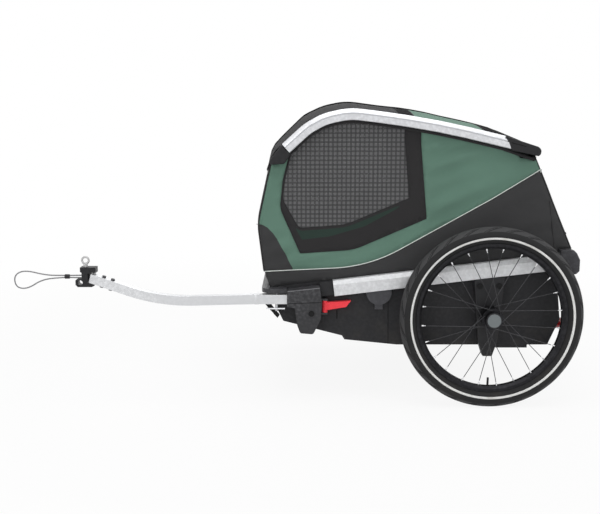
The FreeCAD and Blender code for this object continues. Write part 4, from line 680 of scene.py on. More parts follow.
def inside(points, loops):
    """Which points lie within the outlines, holes left out."""
    hit = np.zeros(len(points), bool)
    for loop in loops:
        for (x0, z0), (x1, z1) in zip(loop, np.roll(loop, -1, 0)):
            spans = (z0 > points[:, 1]) != (z1 > points[:, 1])
            if z0 != z1:
                hit ^= spans & (points[:, 0] < x0 + (points[:, 1] - z0) * (x1 - x0) / (z1 - z0))
    return hit


def distance(points, line, closed=True):
    """How far each point is from a line."""
    best = np.full(len(points), np.inf)
    ends = np.roll(line, -1, 0) if closed else line[1:]
    for a, b in zip(line if closed else line[:-1], ends):
        run = b - a
        share = np.clip(((points - a) @ run) / max(run @ run, 1e-12), 0, 1)
        best = np.minimum(best, np.linalg.norm(points - a - share[:, None] * run, axis=1))
    return best


def filled(loops, step, seams=()):
    """Points and triangles that fill outlines evenly; seams are lines that the triangles keep to."""
    lines = [(finer(loop, step), True) for loop in loops]
    lines += [(finer(np.array(seam), step, False), False) for seam in seams]
    points, edges = [], []
    for line, closed in lines:
        first = len(points)
        points.extend(line)
        count = len(line)
        edges.extend((first + i, first + (i + 1) % count) for i in range(count if closed else count - 1))
    low, high = np.min(loops[0], 0), np.max(loops[0], 0)
    levels = np.arange(low[1], high[1], step * 0.87)
    grid = np.array([(x + (k % 2) * step / 2, z) for k, z in enumerate(levels)
                     for x in np.arange(low[0], high[0], step)])
    keep = inside(grid, loops)
    for line, closed in lines:
        keep &= distance(grid, line, closed) > step * 0.55
    points.extend(grid[keep])
    made = delaunay_2d_cdt([Vector(p) for p in points], edges, [], 0, 1e-7)
    places = np.array([tuple(p) for p in made[0]])
    faces = np.array([f for f in made[2] if len(f) == 3])
    centres = places[faces].mean(axis=1)
    return places, faces[inside(centres, loops)]


def stretch_between(loop, start, end):
    """The part of an outline from near one place to near another, the shorter way round."""
    a = int(np.argmin(np.linalg.norm(loop - np.array(start), axis=1)))
    b = int(np.argmin(np.linalg.norm(loop - np.array(end), axis=1)))
    one = np.roll(loop, -a, 0)[: (b - a) % len(loop) + 1]
    two = np.roll(loop, -b, 0)[: (a - b) % len(loop) + 1]
    length = [np.linalg.norm(np.diff(p, axis=0), axis=1).sum() for p in (one, two)]
    return one if length[0] <= length[1] else two[::-1]


RAIL_BOW = [(-110, 3.0), (-46, 1.5), (-19, -3.5), (34, -6.4), (88, -3.2), (142, 0.8), (222, 4.8),
            (302, 6.4), (383, 4.8), (463, 1.1), (490, 0.0)]


def bow(x):
    """How far the roof's long edge stands over or under the plain line of its bend."""
    places, lifts = np.array(RAIL_BOW).T * MM
    return np.interp(x, places, lifts)


def rail_foot(side, sign):
    """The lower edge of a roof rail in side view, from its front end to its rear end."""
    loop = outer_loops("roof_rail_" + side, sign)[0]
    front = loop[np.argmin(loop[:, 0] + loop[:, 1])]
    rear = loop[np.argmin(loop[:, 1] - 5 * loop[:, 0])]
    line = finer(stretch_between(loop, front, rear), 9 * MM, False)
    return np.column_stack([line[:, 0], line[:, 1] + bow(line[:, 0])])


RAIL_X, RAIL_LOW = rail_foot("left", -1).T
FOLDS = ((0.9, 0.30, 34, 0.3), (0.7, -0.62, 23, 1.7), (0.6, 1.1, 41, 2.2), (0.5, -0.2, 57, 4.0))
CREASES = ((2.8, -0.38, 105, 0.8), (2.1, -0.30, 131, 2.9), (1.8, -0.5, 70, 5.1))
PUFF = 2.6 * MM
FOLD_DEPTH = 2.0 * MM


def swell(points, loops, puff=PUFF, folds=FOLD_DEPTH):
    """How far the cloth stands out: flat at its seams and under the rail, puffed and creased between."""
    near = np.min([distance(points, loop) for loop in loops], axis=0)
    under_rail = np.interp(points[:, 0], RAIL_X, RAIL_LOW) - points[:, 1]
    free = 1 - np.exp(-near / (28 * MM))
    free *= np.clip((under_rail - 4 * MM) / (36 * MM), 0, 1)
    waves = np.zeros(len(points))
    for weight, lean, rate, start in FOLDS:
        drift = 0.6 * np.sin(points[:, 0] * 9 + start) + 0.4 * np.sin(points[:, 1] * 13 + 2 * start)
        waves += weight * np.sin(rate * (points[:, 1] + lean * points[:, 0]) + drift + start)
    for weight, lean, rate, start in CREASES:
        reach = 0.55 + 0.5 * np.sin(points[:, 0] * 7 + start) + 0.35 * np.sin(points[:, 1] * 9 + 2 * start)
        reach = np.clip(reach, 0.1, 1)
        waves += weight * reach * np.sin(rate * (points[:, 1] + lean * points[:, 0]) + start)
    return free * (puff + folds * waves)


CLOTH = 1.2 * MM
FILL_STEP = 11 * MM
PATCH_EDGE = [(-200, 499.5), (-187, 499), (-172, 497), (-157, 490), (-141, 474), (-127, 451), (-114, 428),
              (-101, 402), (-88, 376), (-80, 360)]
# Outer edge of the painted shade band inside the window border
WINDOW_SHADE_EDGE = [(-124, 590), (-103, 558), (-76, 480), (-62, 456), (14, 465), (110, 493), (190, 537),
             (238, 572)]


def crumples(made):
    """Gives a wall piece its own copy of its mesh."""
    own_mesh(made)


def on_wall(points, sign, lift):
    """Points of the side view, set on the outside of a wall."""
    return np.column_stack([points[:, 0], np.full(len(points), sign) * (WALL_OUT + lift), points[:, 1]])


def wall_sheet(name, node, sign, loops, finishes, seams=(), shade=None, puff=PUFF, folds=FOLD_DEPTH,
               lift=0.0):
    """One sewn panel of a wall, cut to outlines; shade gives a triangle's finish from its middle."""
    points, faces = filled(loops, FILL_STEP, seams)
    if sign > 0:
        faces = faces[:, ::-1]
    shades = None if shade is None else shade(points[faces].mean(axis=1))
    rows = on_wall(points, sign, lift + swell(points, loops, puff, folds))
    made = piece(name, rows, faces, finishes, "chassis", (node,), shades)
    solid(made, CLOTH)
    crumples(made)


SEAM_RISE = [(455, 0.0), (487, 1.7), (553, 5.3), (595, 8.3)]


def seamed(loop, other):
    """An outline whose seam with its neighbour rises toward the rear, as the sewn line does."""
    loop, other = finer(loop, 9 * MM), finer(other, 9 * MM)
    shared = distance(loop, other) < 0.5 * MM
    places, lifts = np.array(SEAM_RISE).T * MM
    rise = np.where(shared, np.interp(loop[:, 0], places, lifts), 0.0)
    return np.column_stack([loop[:, 0], loop[:, 1] + rise])


def below(line, points):
    """Which points lie under a line that runs along X."""
    line = np.array(line) * MM
    return points[:, 1] < np.interp(points[:, 0], line[:, 0], line[:, 1])


def wall_tube(name, path, sign, radius, finish, lift=0.0, closed=False):
    """A binding, bead or piping sewn along a line of the wall."""
    rows = on_wall(np.asarray(path), sign, lift)
    crumples(tube(name, rows, radius, finish, "chassis", closed))


NET_PITCH = 2.44 * MM
NET_THREAD = 1.9 * MM
NET_LAYER = 0.12 * MM
NET_DARK = (0, 1)
NET_CHECK = 5


def net_threads(side, sign, loop):
    """The window net: taut crossed threads in two greys that make a small check, cut to the window."""
    corners, faces, shades = [], [], []
    for along in (0, 1):
        spread = 1 - along
        low, high = loop[:, spread].min(), loop[:, spread].max()
        for k in range(int((high - low) / NET_PITCH)):
            dark = int(k % NET_CHECK in NET_DARK)
            depth = sign * (WALL_OUT - 1.8 * MM + (2 * dark + along) * NET_LAYER)
            level = low + (k + 0.5) * NET_PITCH
            crossings = []
            for a, b in zip(loop, np.roll(loop, -1, 0)):
                if (a[spread] > level) != (b[spread] > level):
                    slope = (b[along] - a[along]) / (b[spread] - a[spread])
                    crossings.append(a[along] + (level - a[spread]) * slope)
            crossings.sort()
            for start, end in zip(crossings[::2], crossings[1::2]):
                first = len(corners)
                for where, edge in ((start, -1), (end, -1), (end, 1), (start, 1)):
                    spot = [0.0, depth, 0.0]
                    spot[0 if along == 0 else 2] = where
                    spot[2 if along == 0 else 0] = level + edge * NET_THREAD / 2
                    corners.append(spot)
                faces.append((first, first + 1, first + 2, first + 3))
                shades.append(dark)
    made = piece("net_" + side, corners, faces, ("net_thread", "net_check"), "chassis",
                 ("window_net_" + side,), shades, flat=True)
    crumples(made)


def sharpened(loop, place, reach):
    """An outline whose rounded corner near a place is drawn out to a point."""
    near = np.linalg.norm(loop - np.array(place), axis=1) < reach
    start = next(k for k in range(len(loop)) if near[k] and not near[k - 1])
    turned = np.roll(loop, -start, 0)
    count = int(near.sum())
    before = turned[0] - turned[-1]
    after = turned[count] - turned[count - 1]
    share = np.linalg.solve(np.column_stack([before, -after]), turned[count - 1] - turned[0])[0]
    return np.vstack([turned[0] + share * before, turned[count:]])


BORDER_CORNER = (272 * MM, 515 * MM)
BORDER_FOOT = (-60 * MM, 420 * MM)
TUCK = 18 * MM
BORDER_FORWARD = [(430, 0), (545, -3), (565, -4), (620, -12), (690, -12), (735, 0)]
NET_FORWARD = [(440, 0), (545, -8), (568, -9), (625, -17), (690, -19), (735, 0)]
NET_CORNER = (227 * MM, 572 * MM)
EDGE_STEP = 9 * MM
TUBE_STEP = 12 * MM
FRONT_TOP = (-147 * MM, 662 * MM)
BEAD_SPAN = (-80 * MM, 485 * MM)
BEAD_END = (568 * MM, 679 * MM)
# Ends of the painted shade band inside the window border and of its inner edge, then its middle and half
# width as distances from the net
WINDOW_SHADE_INNER_END = (222 * MM, 548 * MM)
WINDOW_SHADE_END = (225 * MM, 600 * MM)
WINDOW_SHADE_MIDDLE, WINDOW_SHADE_HALF = 18 * MM, 11 * MM
REAR_SEAM = [(614, 562), (624, 494), (634, 422)]


def forward(loop, moves):
    """An outline whose front edge is drawn forward by the amounts given at some heights."""
    levels, shifts = np.array(moves).T * MM
    shift = np.where(loop[:, 0] < -50 * MM, np.interp(loop[:, 1], levels, shifts), 0)
    return loop + np.column_stack([shift, np.zeros(len(loop))])


def tucked(loop):
    """An outline whose top ends behind the roof rail."""
    top = np.interp(loop[:, 0], RAIL_X, RAIL_LOW + TUCK, left=1.0, right=1.0)
    return np.column_stack([loop[:, 0], np.minimum(loop[:, 1], top)])


RAISE_FROM = -72 * MM
RAISE_REACH = 30 * MM
# Gap between the net and the inner edge of the painted shade band
WINDOW_SHADE_INNER_GAP = 7 * MM


def raised(loop, spare):
    """An outline whose top goes up behind the roof rail wherever it comes near it."""
    low = np.interp(loop[:, 0], RAIL_X, RAIL_LOW)
    near = (loop[:, 0] > RAISE_FROM) & (loop[:, 1] > low - RAISE_REACH)
    return np.column_stack([loop[:, 0], np.where(near, low + TUCK - spare, loop[:, 1])])


def outset(loop, gap):
    """A closed outline moved outward by a gap."""
    ways = np.roll(loop, -1, 0) - np.roll(loop, 1, 0)
    ways /= np.maximum(np.linalg.norm(ways, axis=1), 1e-9)[:, None]
    out = np.column_stack([ways[:, 1], -ways[:, 0]])
    if np.sum(out * (loop - loop.mean(axis=0))) < 0:
        out = -out
    return loop + gap * out


def wall(side, sign):
    """One side of the cabin: upper panel with its front patch, skirt, window and the sewn edges."""
    near = "_" + side
    patch = np.array(PATCH_EDGE) * MM
    panel_edge = outer_loops("side_panel" + near, sign)[0]
    skirt_edge = outer_loops("side_skirt" + near, sign)[0]
    border_edge, net_loop = outer_loops("window_frame" + near, sign)[:2]
    border_edge = sharpened(sharpened(border_edge, BORDER_CORNER, 24 * MM), BORDER_FOOT, 24 * MM)
    border_edge = raised(tucked(finer(forward(border_edge, BORDER_FORWARD), EDGE_STEP)), 2 * MM)
    net_loop = forward(sharpened(net_loop, NET_CORNER, 16 * MM), NET_FORWARD)
    net_loop = raised(tucked(finer(net_loop, EDGE_STEP)), 6 * MM)
    # The inner edge of the painted shade band, a set gap outside the net
    hem = outset(net_loop, WINDOW_SHADE_INNER_GAP)
    hem = hem[np.all(hem < WINDOW_SHADE_INNER_END, axis=1)]
    hem = hem[np.argsort(hem[:, 0])]
    panel_loop = tucked(seamed(panel_edge, skirt_edge))
    skirt_loop = seamed(skirt_edge, panel_edge)

    def on_patch(mid):
        return (below(PATCH_EDGE, mid) & (mid[:, 0] < patch[-1, 0])).astype(int)

    # Triangles of the painted shade band: inside its outer edge, within its distance from the net and ahead
    # of its end
    def on_window_shade(mid):
        in_band = np.abs(distance(mid, net_loop) - WINDOW_SHADE_MIDDLE) < WINDOW_SHADE_HALF
        return (~below(WINDOW_SHADE_EDGE, mid) & in_band & np.all(mid < WINDOW_SHADE_END, axis=1)).astype(int)

    wall_sheet("upper_panel" + near, "side_panel" + near, sign, [panel_loop, border_edge],
               ("green_cloth", "dark_cloth"), [patch], on_patch)
    wall_sheet("lower_skirt" + near, "side_skirt" + near, sign, [skirt_loop], ("dark_cloth",),
               puff=1.8 * MM, folds=0.9 * MM)
    net_threads(side, sign, net_loop)
    wall_sheet("window_border" + near, "window_frame" + near, sign, [border_edge, net_loop],
               ("black_cloth", "trim_cloth"), [np.array(WINDOW_SHADE_EDGE) * MM, hem], on_window_shade,
               puff=0.8 * MM, folds=0.2 * MM, lift=0.8 * MM)
    seam = panel_loop[distance(panel_loop, skirt_loop) < 1.0 * MM]
    seam = seam[np.argsort(seam[:, 0])]
    wall_tube("seam_piping" + near, finer(seam, 20 * MM, False), sign, 1.2 * MM, "piping",
              0.6 * MM)
    wall_tube("patch_seam" + near, finer(patch[1:-1], 8 * MM, False), sign, 0.7 * MM, "dark_cloth",
              1.2 * MM)
    outward = panel_loop @ (LEG_OUT.x, LEG_OUT.z)
    rear_edge = panel_loop[outward > outward.max() - 3 * MM]
    rear_high = rear_edge[np.argmax(rear_edge[:, 1])]
    rear = np.array([skirt_loop[np.argmax(skirt_loop[:, 0])], seam[-1], rear_high])
    front = stretch_between(panel_loop, seam[0], FRONT_TOP)
    for label, path, radius, lift, closed in (("window_binding", net_loop, 1.1, 0.0, True),
                                              ("window_seam", border_edge, 0.9, 0.3, True),
                                              ("front_binding", front, 2.6, -1.6, False),
                                              ("rear_binding", rear, 2.6, -1.6, False),
                                              ("rear_seam", np.array(REAR_SEAM) * MM, 0.9, 1.0, False)):
        wall_tube(label + near, finer(path, TUBE_STEP, closed), sign, radius * MM, "black_cloth",
                  lift * MM, closed)
    under = np.column_stack([RAIL_X, RAIL_LOW])
    under = under[(RAIL_X > BEAD_SPAN[0]) & (RAIL_X < BEAD_SPAN[1])]
    bead = finer(np.vstack([under, BEAD_END]) - (0, 3.8 * MM), TUBE_STEP, False)
    tube("roof_bead" + near, on_wall(bead, sign, 2.5 * MM), 4.6 * MM, "black_cloth", "roof_frame")


# Roof, front and rear

def upper_line(name):
    """The top of a bent sheet in side view, from front to rear."""
    loop = outer_loops(name, -1)[0]
    front, rear = int(np.argmin(loop[:, 0])), int(np.argmax(loop[:, 0]))
    one = np.roll(loop, -front, 0)[: (rear - front) % len(loop) + 1]
    two = np.roll(loop, -rear, 0)[: (front - rear) % len(loop) + 1][::-1]
    centre = (loop[front, 0] + loop[rear, 0]) / 2
    return max(one, two, key=lambda line: np.interp(centre, line[:, 0], line[:, 1]))


GREEN_ROOF = (241 * MM, 432 * MM)
ROOF_BAND = 45 * MM
FRONT_FLAP = [(-156, 648), (-151, 663), (-144, 682), (-133, 699)]
ROLL_RADIUS = 24 * MM
ROOF_CROWN = [(-156, 4), (-133, 11), (-100, 14.5), (-40, 16.5), (60, 18), (220, 22), (357, 21.5),
              (412, 20), (467, 19), (510, 19.5), (549, 20), (590, 12), (612, 3)]


def roof():
    """The roof cloth: one domed sheet over the bows, dark at its ends, green between, with sewn edges. Its
    dark and its black cloth are made darker than the walls' as painted shade on the roof's lit top; the black
    also lies in a band just ahead of the green.
    """
    line = upper_line("roof_cover")
    line = np.vstack([line, [(x, np.interp(x, line[:, 0], line[:, 1])) for x in GREEN_ROOF]])
    line = line[np.argsort(line[:, 0])]
    roll = [(LEG_HEAD.x + ROLL_RADIUS * math.cos(turn), LEG_HEAD.z + ROLL_RADIUS * math.sin(turn))
            for turn in np.radians((8, -12, -30, -46))]
    line = finer(np.vstack([np.array(FRONT_FLAP) * MM, line, roll]), 9 * MM, False)
    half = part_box("roof_cover")[1].y
    across = np.linspace(-1, 1, 49)
    places, heights = np.array(ROOF_CROWN).T * MM
    crowns = np.interp(line[:, 0], places, heights)
    for _ in range(40):
        crowns[1:-1] = (crowns[:-2] + crowns[1:-1] + crowns[2:]) / 3
    ways = np.gradient(line, axis=0)
    ways /= np.linalg.norm(ways, axis=1)[:, None]
    for _ in range(4):
        ways[1:-1] = (ways[:-2] + ways[1:-1] + ways[2:]) / 3
    rows = []
    for (x, z), way, crown in zip(line, ways, crowns):
        ripple = 1.1 * MM * math.sin(x * 31) + 0.8 * MM * math.sin(x * 17 + 1)
        for share in across:
            lift = crown * (1 - share ** 2) + min(1.0, crown / (10 * MM)) * ripple * (1 - share ** 4)
            rows.append((x - way[1] * lift, share * half, z + bow(x) - 4.0 * MM + way[0] * lift))
    rows = np.array(rows).reshape(len(line), len(across), 3)
    middles = np.repeat((line[1:, 0] + line[:-1, 0]) / 2, len(across) - 1)
    green = (middles > GREEN_ROOF[0]) & (middles < GREEN_ROOF[1])
    # 0: front dark cloth, 1: green, 2: black; the dark and the black carry painted shade
    shades = np.select([middles < GREEN_ROOF[0] - ROOF_BAND, green], [0, 1], 2)
    made = piece("roof_sheet", rows.reshape(-1, 3), grid_faces(len(line), len(across)),
                 ("roof_cloth", "green_cloth", "roof_black"), "roof_frame",
                 ("roof_cover",), shades)
    solid(made, CLOTH)
    seams = [int(np.argmin(np.abs(line[:, 0] - place))) for place in GREEN_ROOF] + [0]
    for k, row in enumerate(seams):
        tube("roof_welt_%d" % k, rows[row], 1.9 * MM, "black_cloth", "roof_frame")
    ridge = rows[:, len(across) // 2] + (0, 0, 2.6 * MM)
    # The ridge piping is black, darkened further as painted shade on its lit top
    tube("roof_ridge", ridge, 2.6 * MM, "roof_black", "roof_frame")
    for column, (side, sign) in zip((0, -1), SIDES):
        edge = rows[:, column] - (0, sign * 3 * MM, -1.2 * MM)
        tube("roof_edge_" + side, edge, 2.2 * MM, "black_cloth", "roof_frame")


RAIL_SECTION = [(0.0, 1.5), (0.0, 16.4), (3.4, 16.9), (3.4, 19.3), (0.0, 19.8), (0.3, 20.6), (6.6, 30.0),
                (8.0, 30.8), (22.5, 30.8), (24.0, 29.3), (24.0, 1.5), (22.5, 0.0), (1.5, 0.0)]
RAIL_TAIL = 13.0
RAIL_END_LEAN = 0.68
CAP_OUTLINE = [(501, 700.2), (482.5, 739.4), (572, 710.6), (578, 706), (581, 699.5), (579.5, 690), (574, 685)]
CAP_SLOT = ((500, 721.5), (539, 711.5))


def rear_cap(side, sign):
    """The moulded end of a roof rail, cut slanting where the rail goes in, with a dark line along its side
    painted as the shade of a recessed slot.
    """
    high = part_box("roof_rear_caps")[1].y
    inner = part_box("roof_rail_right")[0].y
    outer = high + 0.4 * MM
    count = len(CAP_OUTLINE)
    rows = [(x * MM, sign * y, z * MM) for y in (outer, inner) for x, z in CAP_OUTLINE]
    faces = [tuple(range(count))[::-1], tuple(range(count, 2 * count))]
    faces += [(k, (k + 1) % count, count + (k + 1) % count, count + k) for k in range(count)]
    if sign < 0:
        faces = [f[::-1] for f in faces]
    made = piece("rear_cap_" + side, rows, faces, ("cap_plastic",), "roof_frame",
                 ("roof_rear_caps",))
    rounded(made, 2.6 * MM, 24)
    line = [(x * MM, sign * (outer - 1.2 * MM), z * MM) for x, z in CAP_SLOT]
    tube("rear_cap_line_" + side, line, 1.9 * MM, "hole_black", "roof_frame")


def roof_rail(side, sign):
    """A roof rail: a drawn section with a slanted upper face and a groove, bent to the roof's line."""
    node = "roof_rail_" + side
    low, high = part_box(node)
    path = rail_foot(side, sign)
    ways = np.gradient(path, axis=0)
    ways /= np.linalg.norm(ways, axis=1)[:, None]
    outside = low.y if sign < 0 else high.y
    rows = [(x - way[1] * up * MM, outside - sign * deep * MM, z + way[0] * up * MM)
            for (x, z), way in zip(path, ways) for deep, up in RAIL_SECTION]
    count = len(RAIL_SECTION)
    for k, (_, up) in enumerate(RAIL_SECTION):
        slide = (RAIL_TAIL - RAIL_END_LEAN * up) * MM
        x, y, z = rows[-count + k]
        rows[-count + k] = (x + ways[-1][0] * slide, y, z + ways[-1][1] * slide)
    faces = []
    for r in range(len(path) - 1):
        for c in range(count):
            right = (c + 1) % count
            faces.append((r * count + c, (r + 1) * count + c, (r + 1) * count + right, r * count + right))
    faces.append(tuple(range(count)))
    faces.append(tuple(range((len(path) - 1) * count, len(path) * count))[::-1])
    if sign > 0:
        faces = [f[::-1] for f in faces]
    made = piece("drawn_" + node, rows, faces, ("rail_aluminium",), "roof_frame", (node,))
    split = made.modifiers.new("crisp", "EDGE_SPLIT")
    split.split_angle = math.radians(24)


def zip_line(name, path, body):
    """A zip: its closed teeth as one cord, and a puller at its end."""
    tube(name + "_teeth", path, 1.6 * MM, "black_plastic", body)
    end = Vector(path[-1])
    way = (end - Vector(path[-2])).normalized()
    puller = [end - way * back * MM for back in (4, 16, 30)]
    tube(name + "_puller", puller, 2.6 * MM, "pale_plastic", body)


def panel_of_profile(name, node, profile, half, crown, body):
    """A cloth panel drawn from a side profile across the cabin, fuller toward its middle."""
    profile = finer(np.array(profile), 14 * MM, False)
    across = np.linspace(-1, 1, 41)
    rows = []
    for k, (x, z) in enumerate(profile):
        ahead = profile[min(k + 1, len(profile) - 1)]
        back = profile[max(k - 1, 0)]
        way = (ahead - back) / np.linalg.norm(ahead - back)
        out = np.array([-way[1], way[0]]) * (1 if crown > 0 else -1)
        along = math.sin(math.pi * k / (len(profile) - 1))
        for share in across:
            lift = abs(crown) * (1 - share ** 4) * along
            lift += 0.7 * MM * along * math.sin(share * 9 + k * 0.35)
            rows.append((x + out[0] * lift, share * half, z + out[1] * lift))
    made = piece(name, rows, grid_faces(len(profile), len(across)), ("dark_cloth",), body,
                 (node,))
    solid(made, CLOTH, 0.0)


FRONT_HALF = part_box("front_panel")[1].y


def front_cover():
    """The front of the cabin: a full cloth panel between two zips, bound along its top and foot."""
    loop = outer_loops("front_panel", -1)[0]
    low = loop[np.argmin(loop[:, 0] * 0.05 + loop[:, 1])]
    high = loop[np.argmin(loop[:, 0] * 0.05 - loop[:, 1])]
    profile = stretch_between(loop, low, high)
    panel_of_profile("front_sheet", "front_panel", profile, FRONT_HALF, 2.5 * MM, "front_frame")
    line = finer(profile, 14 * MM, False)
    for side, sign in SIDES:
        path = [(x - 0.6 * MM - 2.2 * MM * math.sin(math.pi * k / len(line)), sign * FRONT_HALF * 0.86, z)
                for k, (x, z) in enumerate(line)]
        zip_line("front_zip_" + side, path, "front_frame")
    for label, (x, z) in (("top", line[-1]), ("foot", line[0])):
        path = [(x, share * FRONT_HALF, z) for share in np.linspace(-1, 1, 9)]
        tube("front_welt_" + label, path, 2.4 * MM, "black_cloth", "front_frame")


def on_door(along, outward, y):
    """A place in the plane of the rear door."""
    spot = LEG_FOOT + LEG_WAY * along + LEG_OUT * outward
    return (spot.x, y, spot.z)


DOOR_LOW, DOOR_HIGH, DOOR_OUT = 22 * MM, 249 * MM, 14 * MM
# The pull: how far under the door's top, how far out and how far across each point lies
DOOR_PULL = ((6, 3, -22), (30, 12, -16), (40, 14, 0), (30, 12, 16), (6, 3, 22))


def rear_cover():
    """The rear door: a cloth flap on a hem rod, zipped at its sides, with a pale strip and a pull."""
    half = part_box("rear_door")[1].y
    profile = [(on_door(s, DOOR_OUT, 0)[0], on_door(s, DOOR_OUT, 0)[2]) for s in (DOOR_LOW, DOOR_HIGH)]
    panel_of_profile("rear_sheet", "rear_door", profile, half, -5 * MM, "rear_flap")
    hem = [on_door(DOOR_LOW, DOOR_OUT - 2 * MM, share * half) for share in np.linspace(-1, 1, 9)]
    tube("rear_hem", hem, 4.5 * MM, "black_cloth", "rear_flap")
    top = [on_door(DOOR_HIGH, DOOR_OUT, share * half) for share in np.linspace(-1, 1, 9)]
    tube("rear_top_welt", top, 2.4 * MM, "black_cloth", "rear_flap")
    for side, sign in SIDES:
        steps = np.linspace(DOOR_LOW, DOOR_HIGH, 9)
        path = [on_door(step, DOOR_OUT + 2.4 * MM, sign * half * 0.9) for step in steps]
        zip_line("rear_zip_" + side, path, "rear_flap")
    middle_run = (DOOR_LOW + DOOR_HIGH) / 2
    shares = np.linspace(-1, 1, 25)
    strip = [on_door(middle_run, DOOR_OUT + 5.2 * MM, share * half * 0.82) for share in shares]
    tube("rear_strip", strip, 2.0 * MM, "piping", "rear_flap")
    pull = [on_door(DOOR_HIGH - down * MM, DOOR_OUT + out * MM, y * MM) for down, out, y in DOOR_PULL]
    tube("rear_pull", pull, 2.6 * MM, "webbing", "rear_flap", order=3)


def floor_pad():
    """The quilted pad on the cabin floor."""
    low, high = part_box("floor_liner")
    count = 49
    shares = np.linspace(0, 1, count)
    top, bottom = [], []
    for u in shares:
        for v in shares:
            edge = min(u, 1 - u, v, 1 - v)
            round_off = min(1.0, edge / 0.06) ** 0.5
            quilt = abs(math.sin(math.pi * 5 * u) * math.sin(math.pi * 6 * v)) ** 0.4
            spot = (low.x + u * (high.x - low.x), low.y + v * (high.y - low.y))
            thick = (high.z - low.z) * (0.25 + 0.75 * round_off * (0.55 + 0.45 * quilt))
            top.append((*spot, low.z + thick))
            bottom.append((*spot, low.z + 0.2 * MM))
    faces = grid_faces(count, count)
    faces = [f[::-1] for f in faces] + [tuple(i + count * count for i in f) for f in faces]
    rim = ([(0, k) for k in range(count)] + [(k, count - 1) for k in range(1, count)]
           + [(count - 1, k) for k in range(count - 2, -1, -1)] + [(k, 0) for k in range(count - 2, 0, -1)])
    rim = [r * count + c for r, c in rim]
    for a, b in zip(rim, rim[1:] + rim[:1]):
        faces.append((a, b, b + count * count, a + count * count))
    made = piece("floor_pad", top + bottom, faces, ("liner_cloth",), "chassis",
                 ("floor_liner",))


def arm_strap():
    """The short webbing strap that hangs under the root of the arm."""
    points, faces = filled(outer_loops("safety_strap", -1)[:1], 5 * MM)
    drop = (points[:, 1].max() - points[:, 1]) / np.ptp(points[:, 1])
    curl = middle("safety_strap").y + 1.5 * MM * np.sin(drop * 3.2)
    rows = np.column_stack([points[:, 0], curl, points[:, 1]])
    made = piece("arm_strap", rows, faces, ("webbing",), "towing_arm", ("safety_strap",))
    solid(made, 1.8 * MM, 0.0)


TUB_SEAM = ((177.5, 296.0), (179.0, 161.0))
TUB_SLOT = ((35.6, 257.5), (35.8, 233.0))
# The brackets' moulded lip, drawn pale as a painted highlight along the top edge
BRACKET_LIP_HIGHLIGHT = ((-101.5, 317.0), (-14.0, 326.8))
# The painted shadow line across the bracket, where the upper block meets the lower plate
BRACKET_SHADOW_LINE = ((-101.0, 283.0), (-9.5, 287.0))


def tub_marks():
    """A moulded seam and a slot on each side of the tub, the slot a line of painted shade, and on the
    brackets a moulded lip painted pale as a highlight and a painted shadow line below it.
    """
    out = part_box("floor_tub")[1].y
    for side, sign in SIDES:
        for label, ends, radius in (("seam", TUB_SEAM, 0.9 * MM), ("slot", TUB_SLOT, 1.6 * MM)):
            path = [(x * MM, sign * out, z * MM) for x, z in ends]
            tube("tub_%s_%s" % (label, side), path, radius, "hole_black", "chassis")
        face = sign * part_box("front_bracket_right")[1].y
        marks = (("lip", BRACKET_LIP_HIGHLIGHT, "lip_plastic"), ("line", BRACKET_SHADOW_LINE, "hole_black"))
        for label, ends, finish in marks:
            path = [(x * MM, face, z * MM) for x, z in ends]
            tube("bracket_%s_%s" % (label, side), path, 0.9 * MM, finish, "chassis")


# Stage, light and camera

CAMERA_PLACE = (-0.0675, -2.7164, 0.80)
CAMERA_PITCH = math.radians(90 - 9.19)
LENS = 53.43
SENSOR = 36.0
FLOOR_HALF = 20.0
WHITE_FROM, WHITE_ALL = 0.9, 2.6
SHADOW_SHARE = 0.1


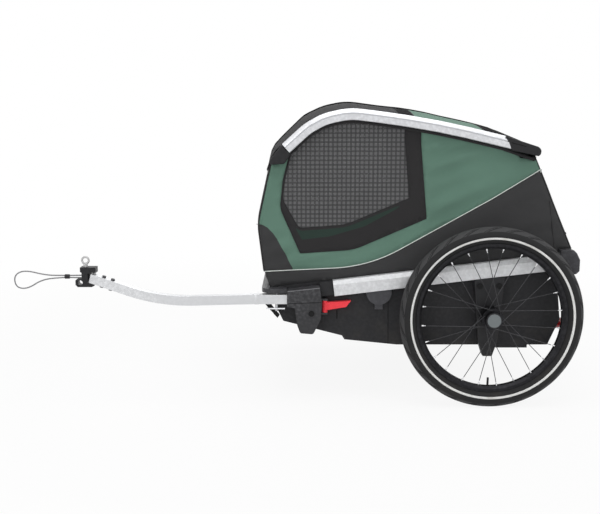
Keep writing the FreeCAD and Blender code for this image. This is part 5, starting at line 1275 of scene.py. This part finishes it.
def floor():
    """A pale floor: it takes the shadow near the object and goes over to plain white further out."""
    made, tree, shader = new_material("studio_floor", Roughness=0.9, Specular_IOR_Level=0.1)
    spot, (x, y, _) = place_of(tree)
    tone = tint(tree, noise(tree, spot, 1.5), (0.9, 0.9, 0.9, 1), (0.94, 0.94, 0.94, 1))
    tree.links.new(tone, shader.inputs["Base Color"])
    away = from_origin(tree, x, y)
    far = ramp(tree, away, WHITE_FROM, WHITE_ALL)
    white = math_of(tree, "MULTIPLY_ADD", far, SHADOW_SHARE, 1 - SHADOW_SHARE)
    share = math_of(tree, "MULTIPLY", white, seen_directly(tree))
    glow = add(tree, "Emission", {"Color": (1, 1, 1, 1), "Strength": 1.0}).outputs[0]
    mixed = add(tree, "MixShader", {0: share, 1: shader.outputs[0], 2: glow})
    tree.links.new(mixed.outputs[0], tree.nodes["Material Output"].inputs["Surface"])
    data = bpy.data.meshes.new("floor")
    corners = [(x * FLOOR_HALF, y * FLOOR_HALF, 0) for x, y in ((-1, -1), (1, -1), (1, 1), (-1, 1))]
    data.from_pydata(corners, [], [(0, 1, 2, 3)])
    data.materials.append(made)
    placed("floor", data)


def seen_directly(tree):
    """One where the eye, a reflection or a look through glass meets the surroundings."""
    rays = add(tree, "LightPath").outputs
    mirrored = math_of(tree, "MAXIMUM", rays["Is Glossy Ray"], rays["Is Transmission Ray"])
    return math_of(tree, "MAXIMUM", rays["Is Camera Ray"], mirrored)


def lamp(name, place, target, side, power):
    """A square soft light."""
    data = bpy.data.lights.new(name, "AREA")
    data.size = side
    data.energy = power
    made = placed(name, data)
    made.location = place
    made.rotation_euler = (Vector(target) - Vector(place)).to_track_quat("-Z", "Y").to_euler()


def studio():
    """White surroundings, soft lamps and the camera."""
    world = bpy.data.worlds.new("studio")
    world.use_nodes = True
    tree = world.node_tree
    tree.nodes.clear()
    dim = add(tree, "Background", {"Color": (1, 1, 1, 1), "Strength": 0.35})
    white = add(tree, "Background", {"Color": (1, 1, 1, 1), "Strength": 1.0})
    mixed = add(tree, "MixShader", {0: seen_directly(tree), 1: dim.outputs[0], 2: white.outputs[0]})
    add(tree, "OutputWorld", {"Surface": mixed.outputs[0]})
    bpy.context.scene.world = world
    lamp("overhead", (0.2, -0.8, 4.2), (0, 0, 0.4), 3.5, 81)
    lamp("front_fill", (-2.6, -4.0, 2.2), (0, 0, 0.45), 2.5, 49)
    lamp("rear_fill", (3.0, -2.6, 2.0), (0.2, 0, 0.4), 2.0, 22)
    lamp("far_fill", (0.5, 4.0, 2.4), (0.1, 0, 0.4), 2.5, 40)
    data = bpy.data.cameras.new("camera")
    data.lens = LENS
    data.sensor_width = SENSOR
    camera = placed("camera", data)
    camera.location = CAMERA_PLACE
    camera.rotation_euler = (CAMERA_PITCH, 0, 0)
    bpy.context.scene.camera = camera
    bpy.context.scene.view_settings.view_transform = "Standard"


finish_nodes()
safety_cable()
for side, sign in SIDES:
    tyre(side)
    wall(side, sign)
    roof_rail(side, sign)
    rear_cap(side, sign)
roof()
front_cover()
rear_cover()
floor_pad()
arm_strap()
tub_marks()
floor()
studio()
